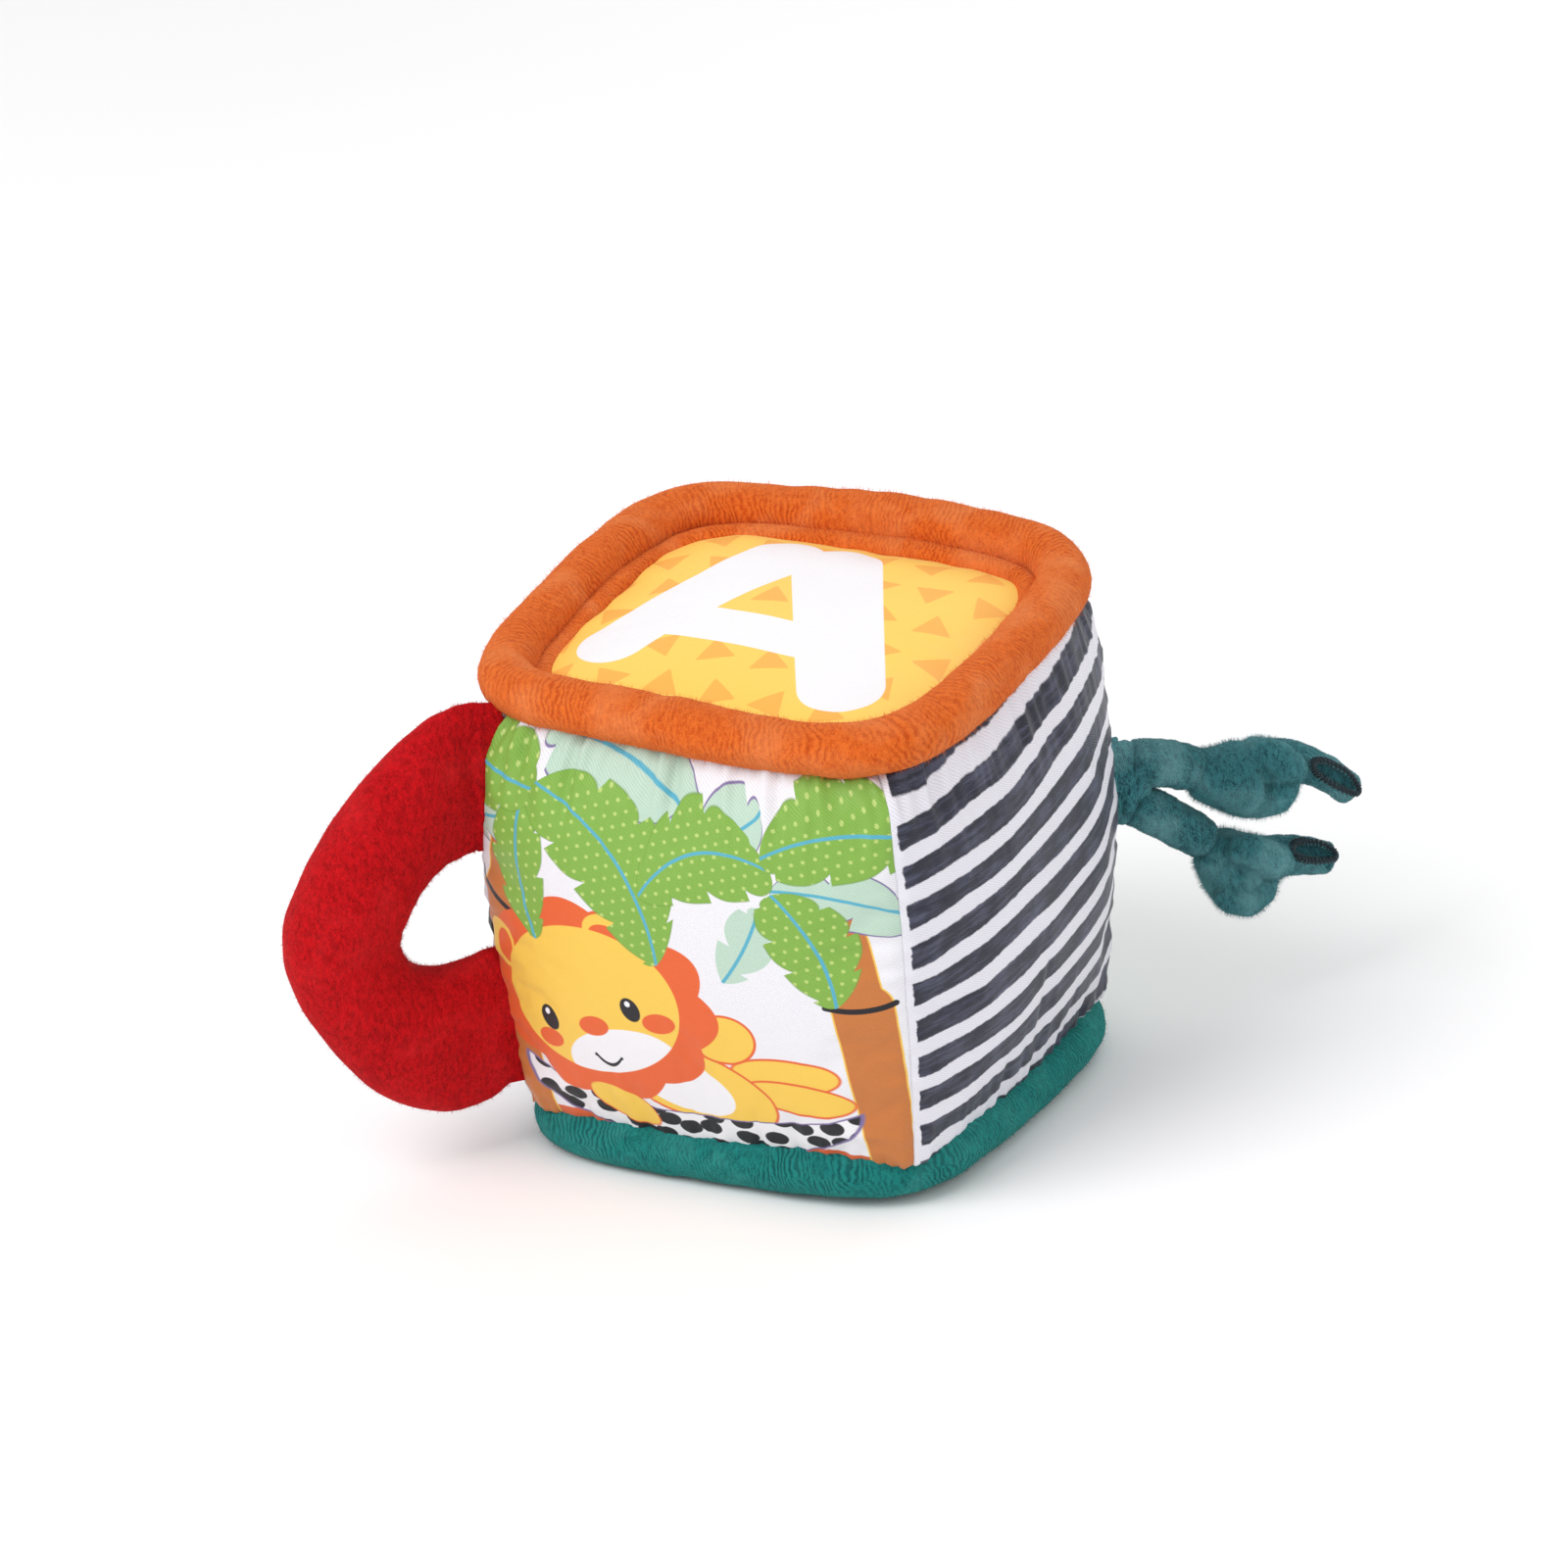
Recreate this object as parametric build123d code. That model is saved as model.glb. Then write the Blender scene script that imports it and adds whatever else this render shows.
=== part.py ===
from build123d import *
import math
import os

# Soft baby activity cube: a stuffed fabric block with a plush rim round its top and bottom edges,
# a stuffed plush handle sewn into one upright seam and a pair of knotted plush legs sewn into the
# opposite one. A rattle capsule sits in the middle of the stuffing.
# Millimetres. +Z is up, the picture side faces -Y, the striped side +X, and the origin is on the
# table under the middle of the block.

# ---- cover: four side panels, a barrel-shaped sleeve with rounded corners
base_half = 57.0          # half width of the sleeve at its bottom seam
belly_half = 61.5         # half width where the sleeve bulges most
crown_half = 58.5         # half width at the top seam
corner_radius = 20.0      # outside radius of the upright corners
cover_low = 11.9          # height of the bottom seam
cover_height = 100.9      # bottom seam to top seam
cloth = 1.5               # printed cloth with its backing
gap = 0.3                 # room left between soft pieces that lie against each other
fine_gap = 0.15           # the same between sewn pieces of one body

# ---- rims: plush tubes filled with a soft cord
top_rim_radius = 6.3
top_rim_half = 54.5       # half width of the tube's centre line
top_rim_corner = 24.0     # corner radius of the centre line
bottom_rim_radius = 6.5
bottom_rim_half = 51.5
bottom_rim_corner = 17.0
plush = 1.2               # plush cloth
roll_radius = 3.0         # the small roll inside the top rim, where its edge is turned in
roll_inset = 8.0          # how far the roll's centre line lies inside the rim's

# ---- top cushion
pad_crown_rise = 6.5      # how far the middle stands above the edge

# ---- rattle
capsule_radius = 16.0
capsule_wall = 1.6
capsule_lip = 2.0         # how far the upper half's lip reaches into the lower half
bead_radius = 2.4
bead_ring_count = 5
bead_ring_tilt = 25.0     # degrees from straight down to a bead in the ring

# ---- crinkle film behind the striped panel
film_thickness = 0.3
film_margin = 14.0        # cloth left free round the film
film_depth = 5.6          # how far the flat film lies inside the sleeve at the film's own edges

# ---- handle, in the upright plane that leaves the block at 45 degrees
handle_top_drop = 0.5     # from the top seam down to the handle's highest point
handle_foot_rise = 2.0    # from the bottom seam up to its lowest point
handle_reach = 47.0       # how far it stands out from its hinge line
handle_cloth = 1.3
seam_half_thickness = 1.5 # half thickness where the handle is sewn flat
tab_thickness = 1.2
tab_depth = 8.0           # how far a sewn-in tab reaches inside the corner
# Cross-sections from the top seam round to the bottom seam. Each has its outer and inner edge, as
# shares of the handle's reach and height, and half its thickness.
handle_sections = (
    ((0.010, 0.985), (0.010, 0.640), seam_half_thickness),
    ((0.290, 0.930), (0.170, 0.608), 7.5),
    ((0.620, 0.790), (0.310, 0.575), 10.0),
    ((0.955, 0.600), (0.415, 0.500), 11.0),
    ((1.000, 0.430), (0.430, 0.437), 11.0),
    ((0.890, 0.255), (0.385, 0.388), 11.0),
    ((0.570, 0.075), (0.280, 0.370), 10.0),
    ((0.250, 0.010), (0.130, 0.378), 7.5),
    ((0.010, 0.030), (0.010, 0.388), seam_half_thickness),
)

# ---- legs, in the upright plane that leaves the opposite corner at 45 degrees
leg_root_rise = 58.5      # upper leg's root above the bottom seam
leg_spacing = 11.2        # upper root to lower root
leg_root_reach = 6.5      # hinge line to the roots
strap_radius = 5.0
socket_gap = 0.3          # room round a strap's ball end
socket_setback = 3.2      # a socket's face stands this far in front of its ball's middle
fold_post_radius = 2.2
knot_half_length = 11.0
knot_radius = 8.8
tail_radius = 4.2
tail_tip_radius = 3.4
edging_radius = 0.55
edging_half_length = 6.5
edging_half_width = 2.4
# Each leg: reach and drop, from its own root, of the knot's hinge, the knot's middle, and the end.
leg_shapes = {
    "upper": ((11.0, -2.5), (22.5, -8.5), (53.0, -18.5)),
    "lower": ((12.5, -11.0), (20.5, -21.0), (46.0, -26.5)),
}

# ---- worked out from the above
cover_top = cover_low + cover_height
cover_middle = cover_low + cover_height / 2
top_rim_z = cover_top + top_rim_radius - 0.1
root_two = math.sqrt(2)
front_left = Vector(-1, -1, 0) / root_two
back_right = Vector(1, 1, 0) / root_two


def sleeve_half(z):
    """Half width of the sleeve's outside at a height: a parabola up each side of the belly."""
    along = (z - cover_middle) / (cover_height / 2)
    end_half = crown_half if along > 0 else base_half
    return belly_half - (belly_half - end_half) * along**2


def corner_distance(z):
    """From the upright axis to the outside of a rounded corner, along the diagonal."""
    return (sleeve_half(z) - corner_radius) * root_two + corner_radius


def sleeve(inset, low, high):
    """The barrel-shaped block inside the sleeve's outside face by inset, between two heights."""
    steps = 6
    sections = []
    for i in range(steps + 1):
        z = low + (high - low) * i / steps
        half = sleeve_half(z) - inset
        sections.append(Plane.XY.offset(z) * RectangleRounded(2 * half, 2 * half, corner_radius - inset))
    return loft(sections)


def square_prism(half, radius, low, high):
    """A block with a rounded square outline between two heights."""
    return Plane.XY.offset(low) * extrude(RectangleRounded(2 * half, 2 * half, radius), high - low)


def square_ring(half, corner, z, radius):
    """A round tube bent into a rounded square."""
    path = Plane.XY.offset(z) * Wire(RectangleRounded(2 * half, 2 * half, corner).edges())
    start = path @ 0
    section = Plane(origin=start, z_dir=path % 0) * Circle(radius)
    return sweep(section, path=path, transition=Transition.ROUND)


def save(shape, name, colour):
    shape.label = name
    shape.color = Color(colour)
    export_step(shape, f"parts/{name}.step")


# ---- the handle's and the legs' hinge lines
handle_high = cover_top - handle_top_drop
handle_low = cover_low + handle_foot_rise
handle_height = handle_high - handle_low


def handle_z(share):
    return handle_low + share * handle_height


upper_tab_span = (handle_z(handle_sections[0][1][1]) + 1, handle_z(handle_sections[0][0][1]) - 1)
lower_tab_span = (handle_z(handle_sections[-1][0][1]) + 1, handle_z(handle_sections[-1][1][1]) - 1)
handle_hinge = 0.5 + max(corner_distance(z) for z in (*upper_tab_span, *lower_tab_span))
upper_root_z = cover_low + leg_root_rise
lower_root_z = upper_root_z - leg_spacing
leg_hinge = 0.9 + corner_distance((upper_root_z + lower_root_z) / 2)
handle_plane = Plane(origin=front_left * handle_hinge, x_dir=front_left, z_dir=(0, 0, 1))
leg_plane = Plane(origin=back_right * leg_hinge, x_dir=back_right, z_dir=(0, 0, 1))


def seam_tab(plane, hinge, span, end_gap):
    """A flat strip caught in a corner seam, from inside the corner out to just short of the hinge line."""
    inner = corner_distance(sum(span) / 2) - tab_depth - hinge
    length = -end_gap - inner
    return plane * Pos(inner + length / 2, 0, sum(span) / 2) * Box(length, tab_thickness, span[1] - span[0])


upper_tab = seam_tab(handle_plane, handle_hinge, upper_tab_span, 0.5)
lower_tab = seam_tab(handle_plane, handle_hinge, lower_tab_span, 0.5)
leg_tab_span = (lower_root_z - strap_radius, upper_root_z + strap_radius)
leg_tab = seam_tab(leg_plane, leg_hinge, leg_tab_span, 0.4)


def slot_round(plane, hinge, span):
    """The space that a seam tab needs in the cloth and the stuffing."""
    inner = corner_distance(sum(span) / 2) - tab_depth - gap - hinge
    length = 10 - inner
    size = tab_thickness + 2 * fine_gap
    return plane * Pos(inner + length / 2, 0, sum(span) / 2) * Box(length, size, span[1] - span[0] + 2 * gap)


tab_slots = (
    slot_round(handle_plane, handle_hinge, upper_tab_span)
    + slot_round(handle_plane, handle_hinge, lower_tab_span)
    + slot_round(leg_plane, leg_hinge, leg_tab_span)
)


def side_panels():
    """The sleeve cut at its four corners into the printed side panels."""
    wall = sleeve(0, cover_low, cover_top) - sleeve(cloth, cover_low, cover_top) - tab_slots
    reach = 2 * belly_half
    wedge = extrude(make_face(Polyline((0, 0), (reach, -reach), (reach, reach), close=True)), 2 * cover_top)
    names = ("right_panel", "back_panel", "left_panel", "front_panel")
    return {name: wall & Rot(0, 0, 90 * i) * wedge for i, name in enumerate(names)}


# ---- top cushion, its roll and the rim round it
roll_half = top_rim_half - roll_inset
roll_drop = math.sqrt((top_rim_radius + roll_radius + fine_gap) ** 2 - roll_inset**2)
roll_z = top_rim_z - roll_drop
roll_corner = top_rim_corner - roll_inset
pad_half = roll_half - roll_radius - fine_gap
pad_corner = roll_corner - roll_radius - fine_gap
pad_corner_reach = (pad_half - pad_corner) * root_two + pad_corner
dome_radius = (pad_corner_reach**2 + pad_crown_rise**2) / (2 * pad_crown_rise)
pad_edge_z = roll_z + 1.5
dome_centre_z = pad_edge_z + pad_crown_rise - dome_radius


def dome(inset, half, corner, low):
    """A rounded square block with a gently domed top."""
    block = square_prism(half, corner, low, pad_edge_z + 2 * pad_crown_rise)
    return block & Pos(0, 0, dome_centre_z) * Sphere(dome_radius - inset)


def top_panel():
    return dome(0, pad_half, pad_corner, pad_edge_z - 3) - dome(cloth, pad_half, pad_corner, pad_edge_z - 4)


# ---- stuffing: two batts with a pocket for the capsule between them
filling_low = 2 * bottom_rim_radius + gap
filling_high = min(roll_z - roll_radius, top_rim_z - top_rim_radius) - gap
bottom_pad_half = bottom_rim_half - bottom_rim_radius - fine_gap
bottom_pad_corner = bottom_rim_corner - bottom_rim_radius - fine_gap
film_height = cover_height - 2 * film_margin
film_edges = (cover_middle - film_height / 2, cover_middle + film_height / 2)
film_x = min(sleeve_half(z) for z in film_edges) - film_depth
film_width = 2 * (base_half - film_margin)


def crinkle_film():
    return Pos(film_x, 0, cover_middle) * Box(film_thickness, film_width, film_height)


def filling():
    middle = sleeve(cloth + gap, filling_low, filling_high)
    foot = square_prism(bottom_pad_half - gap, bottom_pad_corner, cloth + gap, filling_low + 1)
    head = dome(cloth + gap, pad_half - gap, pad_corner, filling_high - 1)
    film_slot = Pos(film_x, 0, cover_middle) * Box(
        film_thickness + 2 * fine_gap, film_width + 2 * gap, film_height + 2 * gap
    )
    pocket = Pos(0, 0, cover_middle) * Sphere(capsule_radius + gap)
    return middle + foot + head - film_slot - pocket - tab_slots


def capsule_halves():
    """Two hemispheres that meet at the middle height, the upper one with a lip inside the lower."""
    shell = Sphere(capsule_radius) - Sphere(capsule_radius - capsule_wall)
    half_space = Pos(0, 0, capsule_radius) * Box(4 * capsule_radius, 4 * capsule_radius, 2 * capsule_radius)
    lip_outer = capsule_radius - capsule_wall / 2
    lip = Pos(0, 0, -capsule_lip / 2) * Cylinder(lip_outer - fine_gap / 2, capsule_lip)
    room = Pos(0, 0, -capsule_lip / 2) * Cylinder(lip_outer + fine_gap / 2, capsule_lip)
    inside = Sphere(capsule_radius - capsule_wall)
    place = Pos(0, 0, cover_middle)
    return place * ((shell & half_space) + (lip - inside)), place * (shell - half_space - room)


def rattle_beads():
    """Loose beads lying together in the bottom of the capsule."""
    seat = capsule_radius - capsule_wall - bead_radius - fine_gap
    beads = [Pos(0, 0, -seat) * Sphere(bead_radius)]
    tilt = math.radians(bead_ring_tilt)
    for i in range(bead_ring_count):
        turn = 2 * math.pi * i / bead_ring_count
        out = seat * math.sin(tilt)
        down = seat * math.cos(tilt)
        beads.append(Pos(out * math.cos(turn), out * math.sin(turn), -down) * Sphere(bead_radius))
    return Compound([Pos(0, 0, cover_middle) * bead for bead in beads])


# ---- handle
def seamed_oval(half_length, half_width):
    """An oval drawn as two curves that meet at its ends, where the two cloths are sewn together."""
    points = []
    for i in range(17):
        turn = 2 * math.pi * i / 16
        points.append((half_length * math.cos(turn), half_width * math.sin(turn)))
    return make_face([Spline(*points[:9]), Spline(*points[8:])])


def handle_body(inset):
    """The handle's outside, or its stuffing when inset by the cloth, in its own upright plane."""
    sections = []
    for outer, inner, half_thickness in handle_sections:
        far = Vector(outer[0] * handle_reach, 0, handle_z(outer[1]))
        near = Vector(inner[0] * handle_reach, 0, handle_z(inner[1]))
        across = far - near
        half_thin = max(half_thickness - inset, 0.6)
        face = Plane(origin=(far + near) / 2, x_dir=across, z_dir=Vector(0, 1, 0).cross(across))
        sections.append(face * seamed_oval(across.length / 2 - inset, half_thin))
    return loft(sections)


def handle_pieces():
    body = handle_body(0)
    stuffing = handle_body(handle_cloth)
    cover = body - stuffing
    side = Pos(0, 100, cover_middle) * Box(400, 200, 400)
    trim = Pos(handle_reach, 0, cover_middle) * Box(2 * handle_reach - 2, 200, 400)
    inside = handle_body(handle_cloth + fine_gap) & trim
    return handle_plane * (cover - side), handle_plane * (cover & side), handle_plane * inside


# ---- legs
def leg_point(which, reach_and_drop):
    root_z = upper_root_z if which == "upper" else lower_root_z
    return Vector(leg_root_reach + reach_and_drop[0], 0, root_z + reach_and_drop[1])


def rod(start, end, start_radius, end_radius):
    """A straight round rod, tapered where its two radii differ."""
    along = end - start
    shape = Cylinder(start_radius, along.length, align=(Align.CENTER, Align.CENTER, Align.MIN))
    if abs(start_radius - end_radius) > 1e-6:
        shape = Cone(start_radius, end_radius, along.length, align=(Align.CENTER, Align.CENTER, Align.MIN))
    return Plane(origin=start, z_dir=along) * shape


def socketed(shape, ball, towards):
    """shape with a ball socket at its near end: a round pocket behind a face that stands clear of it."""
    place = Plane(origin=ball, z_dir=towards - ball)
    behind = place * Pos(0, 0, socket_setback - 50) * Box(100, 100, 100)
    return shape - behind - place * Sphere(strap_radius + socket_gap)


def leg_pieces(which):
    """The strap, the knot tied in it, the tail beyond the knot and the tail's stitched edging."""
    bend, knot_middle, end = (leg_point(which, p) for p in leg_shapes[which])
    root = leg_point(which, (0, 0))
    strap_end = Plane(origin=bend, z_dir=bend - root) * Sphere(strap_radius)
    strap = socketed(rod(root, bend, strap_radius, strap_radius), root, bend) + strap_end
    along = (knot_middle - bend).normalized()
    oval = Rot(0, 0, 90) * Ellipse(knot_radius, knot_half_length)
    half_oval = oval & Pos(0, -50) * Rectangle(400, 100)
    bulb = revolve(half_oval, axis=Axis.X)
    bulb = Plane(origin=knot_middle, x_dir=along, z_dir=Vector(0, 1, 0)) * bulb
    knot = socketed(bulb, bend, knot_middle)
    tail_way = (end - knot_middle).normalized()
    tail_end = end - tail_way * tail_tip_radius
    tip = Plane(origin=tail_end, z_dir=tail_way) * Sphere(tail_tip_radius)
    tail = rod(knot_middle, tail_end, tail_radius, tail_tip_radius) + tip
    tail = tail - bulb
    # the edging lies on the tail's upper side, on a flat that faces up and outwards
    up = tail_way.cross(Vector(0, 1, 0))
    up = up if up.Z > 0 else -up
    centre = end - tail_way * (edging_half_length + 1.2)
    flat = Plane(origin=centre + up * (tail_tip_radius - 0.6), x_dir=tail_way, z_dir=up)
    tail = tail - flat * Pos(0, 0, 5) * Box(100, 100, 10)
    loop = Wire(SlotOverall(2 * edging_half_length, 2 * edging_half_width).edges())
    start = loop @ 0
    ring = sweep(Plane(origin=start, z_dir=loop % 0) * Circle(edging_radius), path=loop)
    edging = flat * Pos(0, 0, edging_radius + 0.02) * ring
    return {
        f"{which}_leg_strap": leg_plane * strap,
        f"{which}_leg_knot": leg_plane * knot,
        f"{which}_leg_tail": leg_plane * tail,
        f"{which}_tail_edging": leg_plane * edging,
    }


def leg_fold():
    """The middle of the strap, folded where it is sewn in: a post along the seam and the two roots."""
    height = upper_root_z - lower_root_z + strap_radius
    middle = (upper_root_z + lower_root_z) / 2
    post = Pos(fold_post_radius + 0.4, 0, middle) * Cylinder(fold_post_radius, height)
    balls = [Pos(leg_root_reach, 0, z) * Sphere(strap_radius) for z in (upper_root_z, lower_root_z)]
    return leg_plane * (post + balls[0] + balls[1])


# ---- write every piece
os.makedirs("parts", exist_ok=True)
for name, panel in side_panels().items():
    save(panel, name, "white")
save(top_panel(), "top_panel", "yellow")
save(square_prism(bottom_pad_half, bottom_pad_corner, 0, cloth), "bottom_panel", "yellow")
for name, half, corner, z, radius in (
    ("top_rim", top_rim_half, top_rim_corner, top_rim_z, top_rim_radius),
    ("bottom_rim", bottom_rim_half, bottom_rim_corner, bottom_rim_radius, bottom_rim_radius),
):
    cover = square_ring(half, corner, z, radius) - square_ring(half, corner, z, radius - plush)
    save(cover, f"{name}_cover", "orange")
    save(square_ring(half, corner, z, radius - plush - fine_gap), f"{name}_cord", "white")
save(square_ring(roll_half, roll_corner, roll_z, roll_radius), "top_rim_inner_roll", "orange")
save(crinkle_film(), "crinkle_film", "gray")
stuffing = filling()
upper_space = Pos(0, 0, cover_middle + 100) * Box(400, 400, 200)
save(stuffing & upper_space, "upper_filling", "white")
save(stuffing - upper_space, "lower_filling", "white")
upper_capsule, lower_capsule = capsule_halves()
save(upper_capsule, "rattle_capsule_upper", "blue")
save(lower_capsule, "rattle_capsule_lower", "blue")
save(rattle_beads(), "rattle_beads", "red")
save(upper_tab, "handle_upper_tab", "red")
save(lower_tab, "handle_lower_tab", "red")
save(leg_tab, "leg_seam_tab", "teal")
front_cover, back_cover, handle_stuffing = handle_pieces()
save(front_cover, "handle_front_cover", "red")
save(back_cover, "handle_back_cover", "red")
save(handle_stuffing, "handle_filling", "white")
save(leg_fold(), "leg_fold", "teal")
for which in leg_shapes:
    for name, piece in leg_pieces(which).items():
        save(piece, name, "teal")
print(f"hinges: handle {handle_hinge:.3f} mm from the middle, legs {leg_hinge:.3f} mm")
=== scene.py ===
import bpy
import math
import random
from mathutils import Matrix, Vector, noise


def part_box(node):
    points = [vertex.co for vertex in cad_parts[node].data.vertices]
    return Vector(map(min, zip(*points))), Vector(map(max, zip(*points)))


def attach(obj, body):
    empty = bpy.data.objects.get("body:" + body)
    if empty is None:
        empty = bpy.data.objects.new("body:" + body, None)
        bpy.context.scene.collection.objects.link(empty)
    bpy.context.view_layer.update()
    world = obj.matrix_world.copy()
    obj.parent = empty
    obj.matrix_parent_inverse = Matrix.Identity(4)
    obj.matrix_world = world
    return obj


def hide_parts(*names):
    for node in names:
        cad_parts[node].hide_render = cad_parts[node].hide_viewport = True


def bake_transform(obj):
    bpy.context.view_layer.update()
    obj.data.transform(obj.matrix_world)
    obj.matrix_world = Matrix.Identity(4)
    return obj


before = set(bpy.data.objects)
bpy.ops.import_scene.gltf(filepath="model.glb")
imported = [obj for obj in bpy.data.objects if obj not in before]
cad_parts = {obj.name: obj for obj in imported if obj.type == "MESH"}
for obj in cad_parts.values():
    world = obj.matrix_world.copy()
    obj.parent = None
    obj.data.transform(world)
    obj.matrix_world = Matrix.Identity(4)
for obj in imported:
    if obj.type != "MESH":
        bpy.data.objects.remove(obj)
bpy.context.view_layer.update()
mm = 0.001
print("frame loaded")

# camera
cameraSetup = {
    "azimuth": 29.9,      # degrees round from the picture side
    "elevation": 23.0,
    "roll": -4.87,
    "distance": 1.513,
    "lens": 148.2,        # mm, on a sensor 36 mm wide
    "target": (-0.0017, -0.0041, 0.0806),
}


def addCamera(setup):
    azimuth, elevation = math.radians(setup["azimuth"]), math.radians(setup["elevation"])
    level = math.cos(elevation)
    back = Vector((math.sin(azimuth) * level, -math.cos(azimuth) * level, math.sin(elevation)))
    right = Vector((math.cos(azimuth), math.sin(azimuth), 0))
    up = back.cross(right)
    roll = math.radians(setup["roll"])
    side = right * math.cos(roll) + up * math.sin(roll)
    top = up * math.cos(roll) - right * math.sin(roll)
    camera = bpy.data.objects.new("camera", bpy.data.cameras.new("camera"))
    turned = Matrix((side, top, back)).transposed().to_4x4()
    camera.matrix_world = Matrix.Translation(Vector(setup["target"]) + back * setup["distance"]) @ turned
    camera.data.lens = setup["lens"]
    camera.data.clip_start, camera.data.clip_end = 0.05, 20
    bpy.context.scene.collection.objects.link(camera)
    bpy.context.scene.camera = camera


addCamera(cameraSetup)

# builders for meshes
def makePiece(name, points, faces, cloth=None, flat=False):
    mesh = bpy.data.meshes.new(name)
    mesh.from_pydata([tuple(p) for p in points], [], faces)
    mesh.polygons.foreach_set("use_smooth", [not flat] * len(mesh.polygons))
    if cloth:
        layer = mesh.uv_layers.new(name="cloth")
        layer.data.foreach_set("uv", [c for pair in cloth for c in pair])
    piece = bpy.data.objects.new(name, mesh)
    bpy.context.scene.collection.objects.link(piece)
    return piece


def gridPiece(name, columns, rows, pointAt, ringColumns=False, ringRows=False, clothSize=(1.0, 1.0), clothAt=None):
    # a sheet of columns by rows cells, closed on itself where asked; cloth coordinates are in mm
    across = columns if ringColumns else columns + 1
    along = rows if ringRows else rows + 1
    points = [pointAt(i / columns, j / rows) for j in range(along) for i in range(across)]
    faces, cloth = [], []
    for j in range(rows):
        for i in range(columns):
            corners = ((i, j), (i + 1, j), (i + 1, j + 1), (i, j + 1))
            faces.append([c % across + (r % along) * across for c, r in corners])
            for c, r in corners:
                u, v = c / columns, r / rows
                cloth.append(clothAt(u, v) if clothAt else (u * clothSize[0], v * clothSize[1]))
    return makePiece(name, points, faces, cloth)


def smoothStep(low, high, value):
    t = min(max((value - low) / (high - low), 0), 1)
    return t * t * (3 - 2 * t)


def glide(values, place, ring=False):
    # a smooth run through a list of numbers or vectors; place goes from 0 to 1
    count = len(values)
    along = place * count if ring else place * (count - 1)
    i = int(math.floor(along)) if ring else min(int(along), count - 2)
    f = along - i

    def pick(k):
        return values[k % count] if ring else values[min(max(k, 0), count - 1)]

    a, b, c, d = pick(i - 1), pick(i), pick(i + 1), pick(i + 2)
    return (b * 2 + (c - a) * f + (a * 2 - b * 5 + c * 4 - d) * f**2 + (b * 3 - c * 3 + d - a) * f**3) * 0.5


def softSquare(angle, halfX, halfY, power):
    # a point on a square with soft corners, at an angle from +X
    c, s = math.cos(angle), math.sin(angle)
    reach = (abs(c / halfX) ** power + abs(s / halfY) ** power) ** (-1 / power)
    return Vector((reach * c, reach * s, 0))


def addModifier(piece, kind, **settings):
    modifier = piece.modifiers.new(kind.lower(), kind)
    for key, value in settings.items():
        setattr(modifier, key, value)
    return modifier


def applyModifiers(piece):
    evaluated = piece.evaluated_get(bpy.context.evaluated_depsgraph_get())
    mesh = bpy.data.meshes.new_from_object(evaluated)
    piece.modifiers.clear()
    old = piece.data
    piece.data = mesh
    bpy.data.meshes.remove(old)


def puffCloth(piece, pinned, setup):
    # blows a cloth up with its pinned points held, then keeps the shape and takes the cloth off again
    scene = bpy.context.scene
    before = [v.co.copy() for v in piece.data.vertices]
    group = piece.vertex_groups.new(name="pinned")
    group.add(pinned, 1.0, "REPLACE")
    cloth = addModifier(piece, "CLOTH")
    cloth.settings.vertex_group_mass = "pinned"
    cloth.settings.quality = setup["quality"]
    cloth.settings.mass = 0.15
    cloth.settings.tension_stiffness = cloth.settings.compression_stiffness = setup["stretch"]
    cloth.settings.shear_stiffness = setup["stretch"] / 2
    cloth.settings.bending_stiffness = setup["bending"]
    cloth.settings.shrink_min = -setup["spare"]
    cloth.settings.use_pressure = True
    cloth.settings.uniform_pressure_force = setup["pressure"]
    cloth.settings.effector_weights.gravity = 0
    cloth.collision_settings.use_collision = False
    cloth.point_cache.frame_start, cloth.point_cache.frame_end = 1, setup["frames"]
    for step in range(1, setup["frames"] + 1):
        scene.frame_set(step)
    evaluated = piece.evaluated_get(bpy.context.evaluated_depsgraph_get())
    after = [v.co.copy() for v in evaluated.data.vertices]
    piece.modifiers.clear()
    piece.vertex_groups.clear()
    scene.frame_set(1)
    for vertex, old, new in zip(piece.data.vertices, before, after):
        move = new - old
        if move.length > setup["cap"] * mm:
            move = move.normalized() * setup["cap"] * mm
        vertex.co = old + move
    print("puffed", piece.name)


# builders for materials
def plug(tree, socket, value):
    # a link where the value is another node's output, or else the socket's own value
    if isinstance(value, bpy.types.NodeSocket):
        tree.links.new(value, socket)
    else:
        socket.default_value = value


def addNode(tree, kind, inputs=None, **settings):
    node = tree.nodes.new("ShaderNode" + kind)
    for key, value in settings.items():
        setattr(node, key, value)
    for key, value in (inputs or {}).items():
        plug(tree, node.inputs[key], value)
    return node


def calc(tree, operation, *values, clamp=False):
    return addNode(tree, "Math", dict(enumerate(values)), operation=operation, use_clamp=clamp).outputs[0]


def mixColour(tree, factor, under, over, blend="MIX"):
    return addNode(tree, "Mix", {0: factor, 6: under, 7: over}, data_type="RGBA", blend_type=blend).outputs[2]


def noiseOn(tree, place, scale, detail=2.0, roughness=0.5, distortion=0.0):
    settings = {"Vector": place, "Scale": scale, "Detail": detail, "Roughness": roughness, "Distortion": distortion}
    return addNode(tree, "TexNoise", settings).outputs[0]


def ramp(tree, value, low, high):
    # 0 at low and 1 at high, held past both
    return addNode(tree, "MapRange", {0: value, 1: low, 2: high}).outputs[0]


def splitUp(tree, vector):
    return addNode(tree, "SeparateXYZ", {0: vector}).outputs


def joinUp(tree, x, y):
    return addNode(tree, "CombineXYZ", {0: x, 1: y}).outputs[0]


def objectPlace(tree):
    return addNode(tree, "TexCoord").outputs["Object"]


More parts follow.
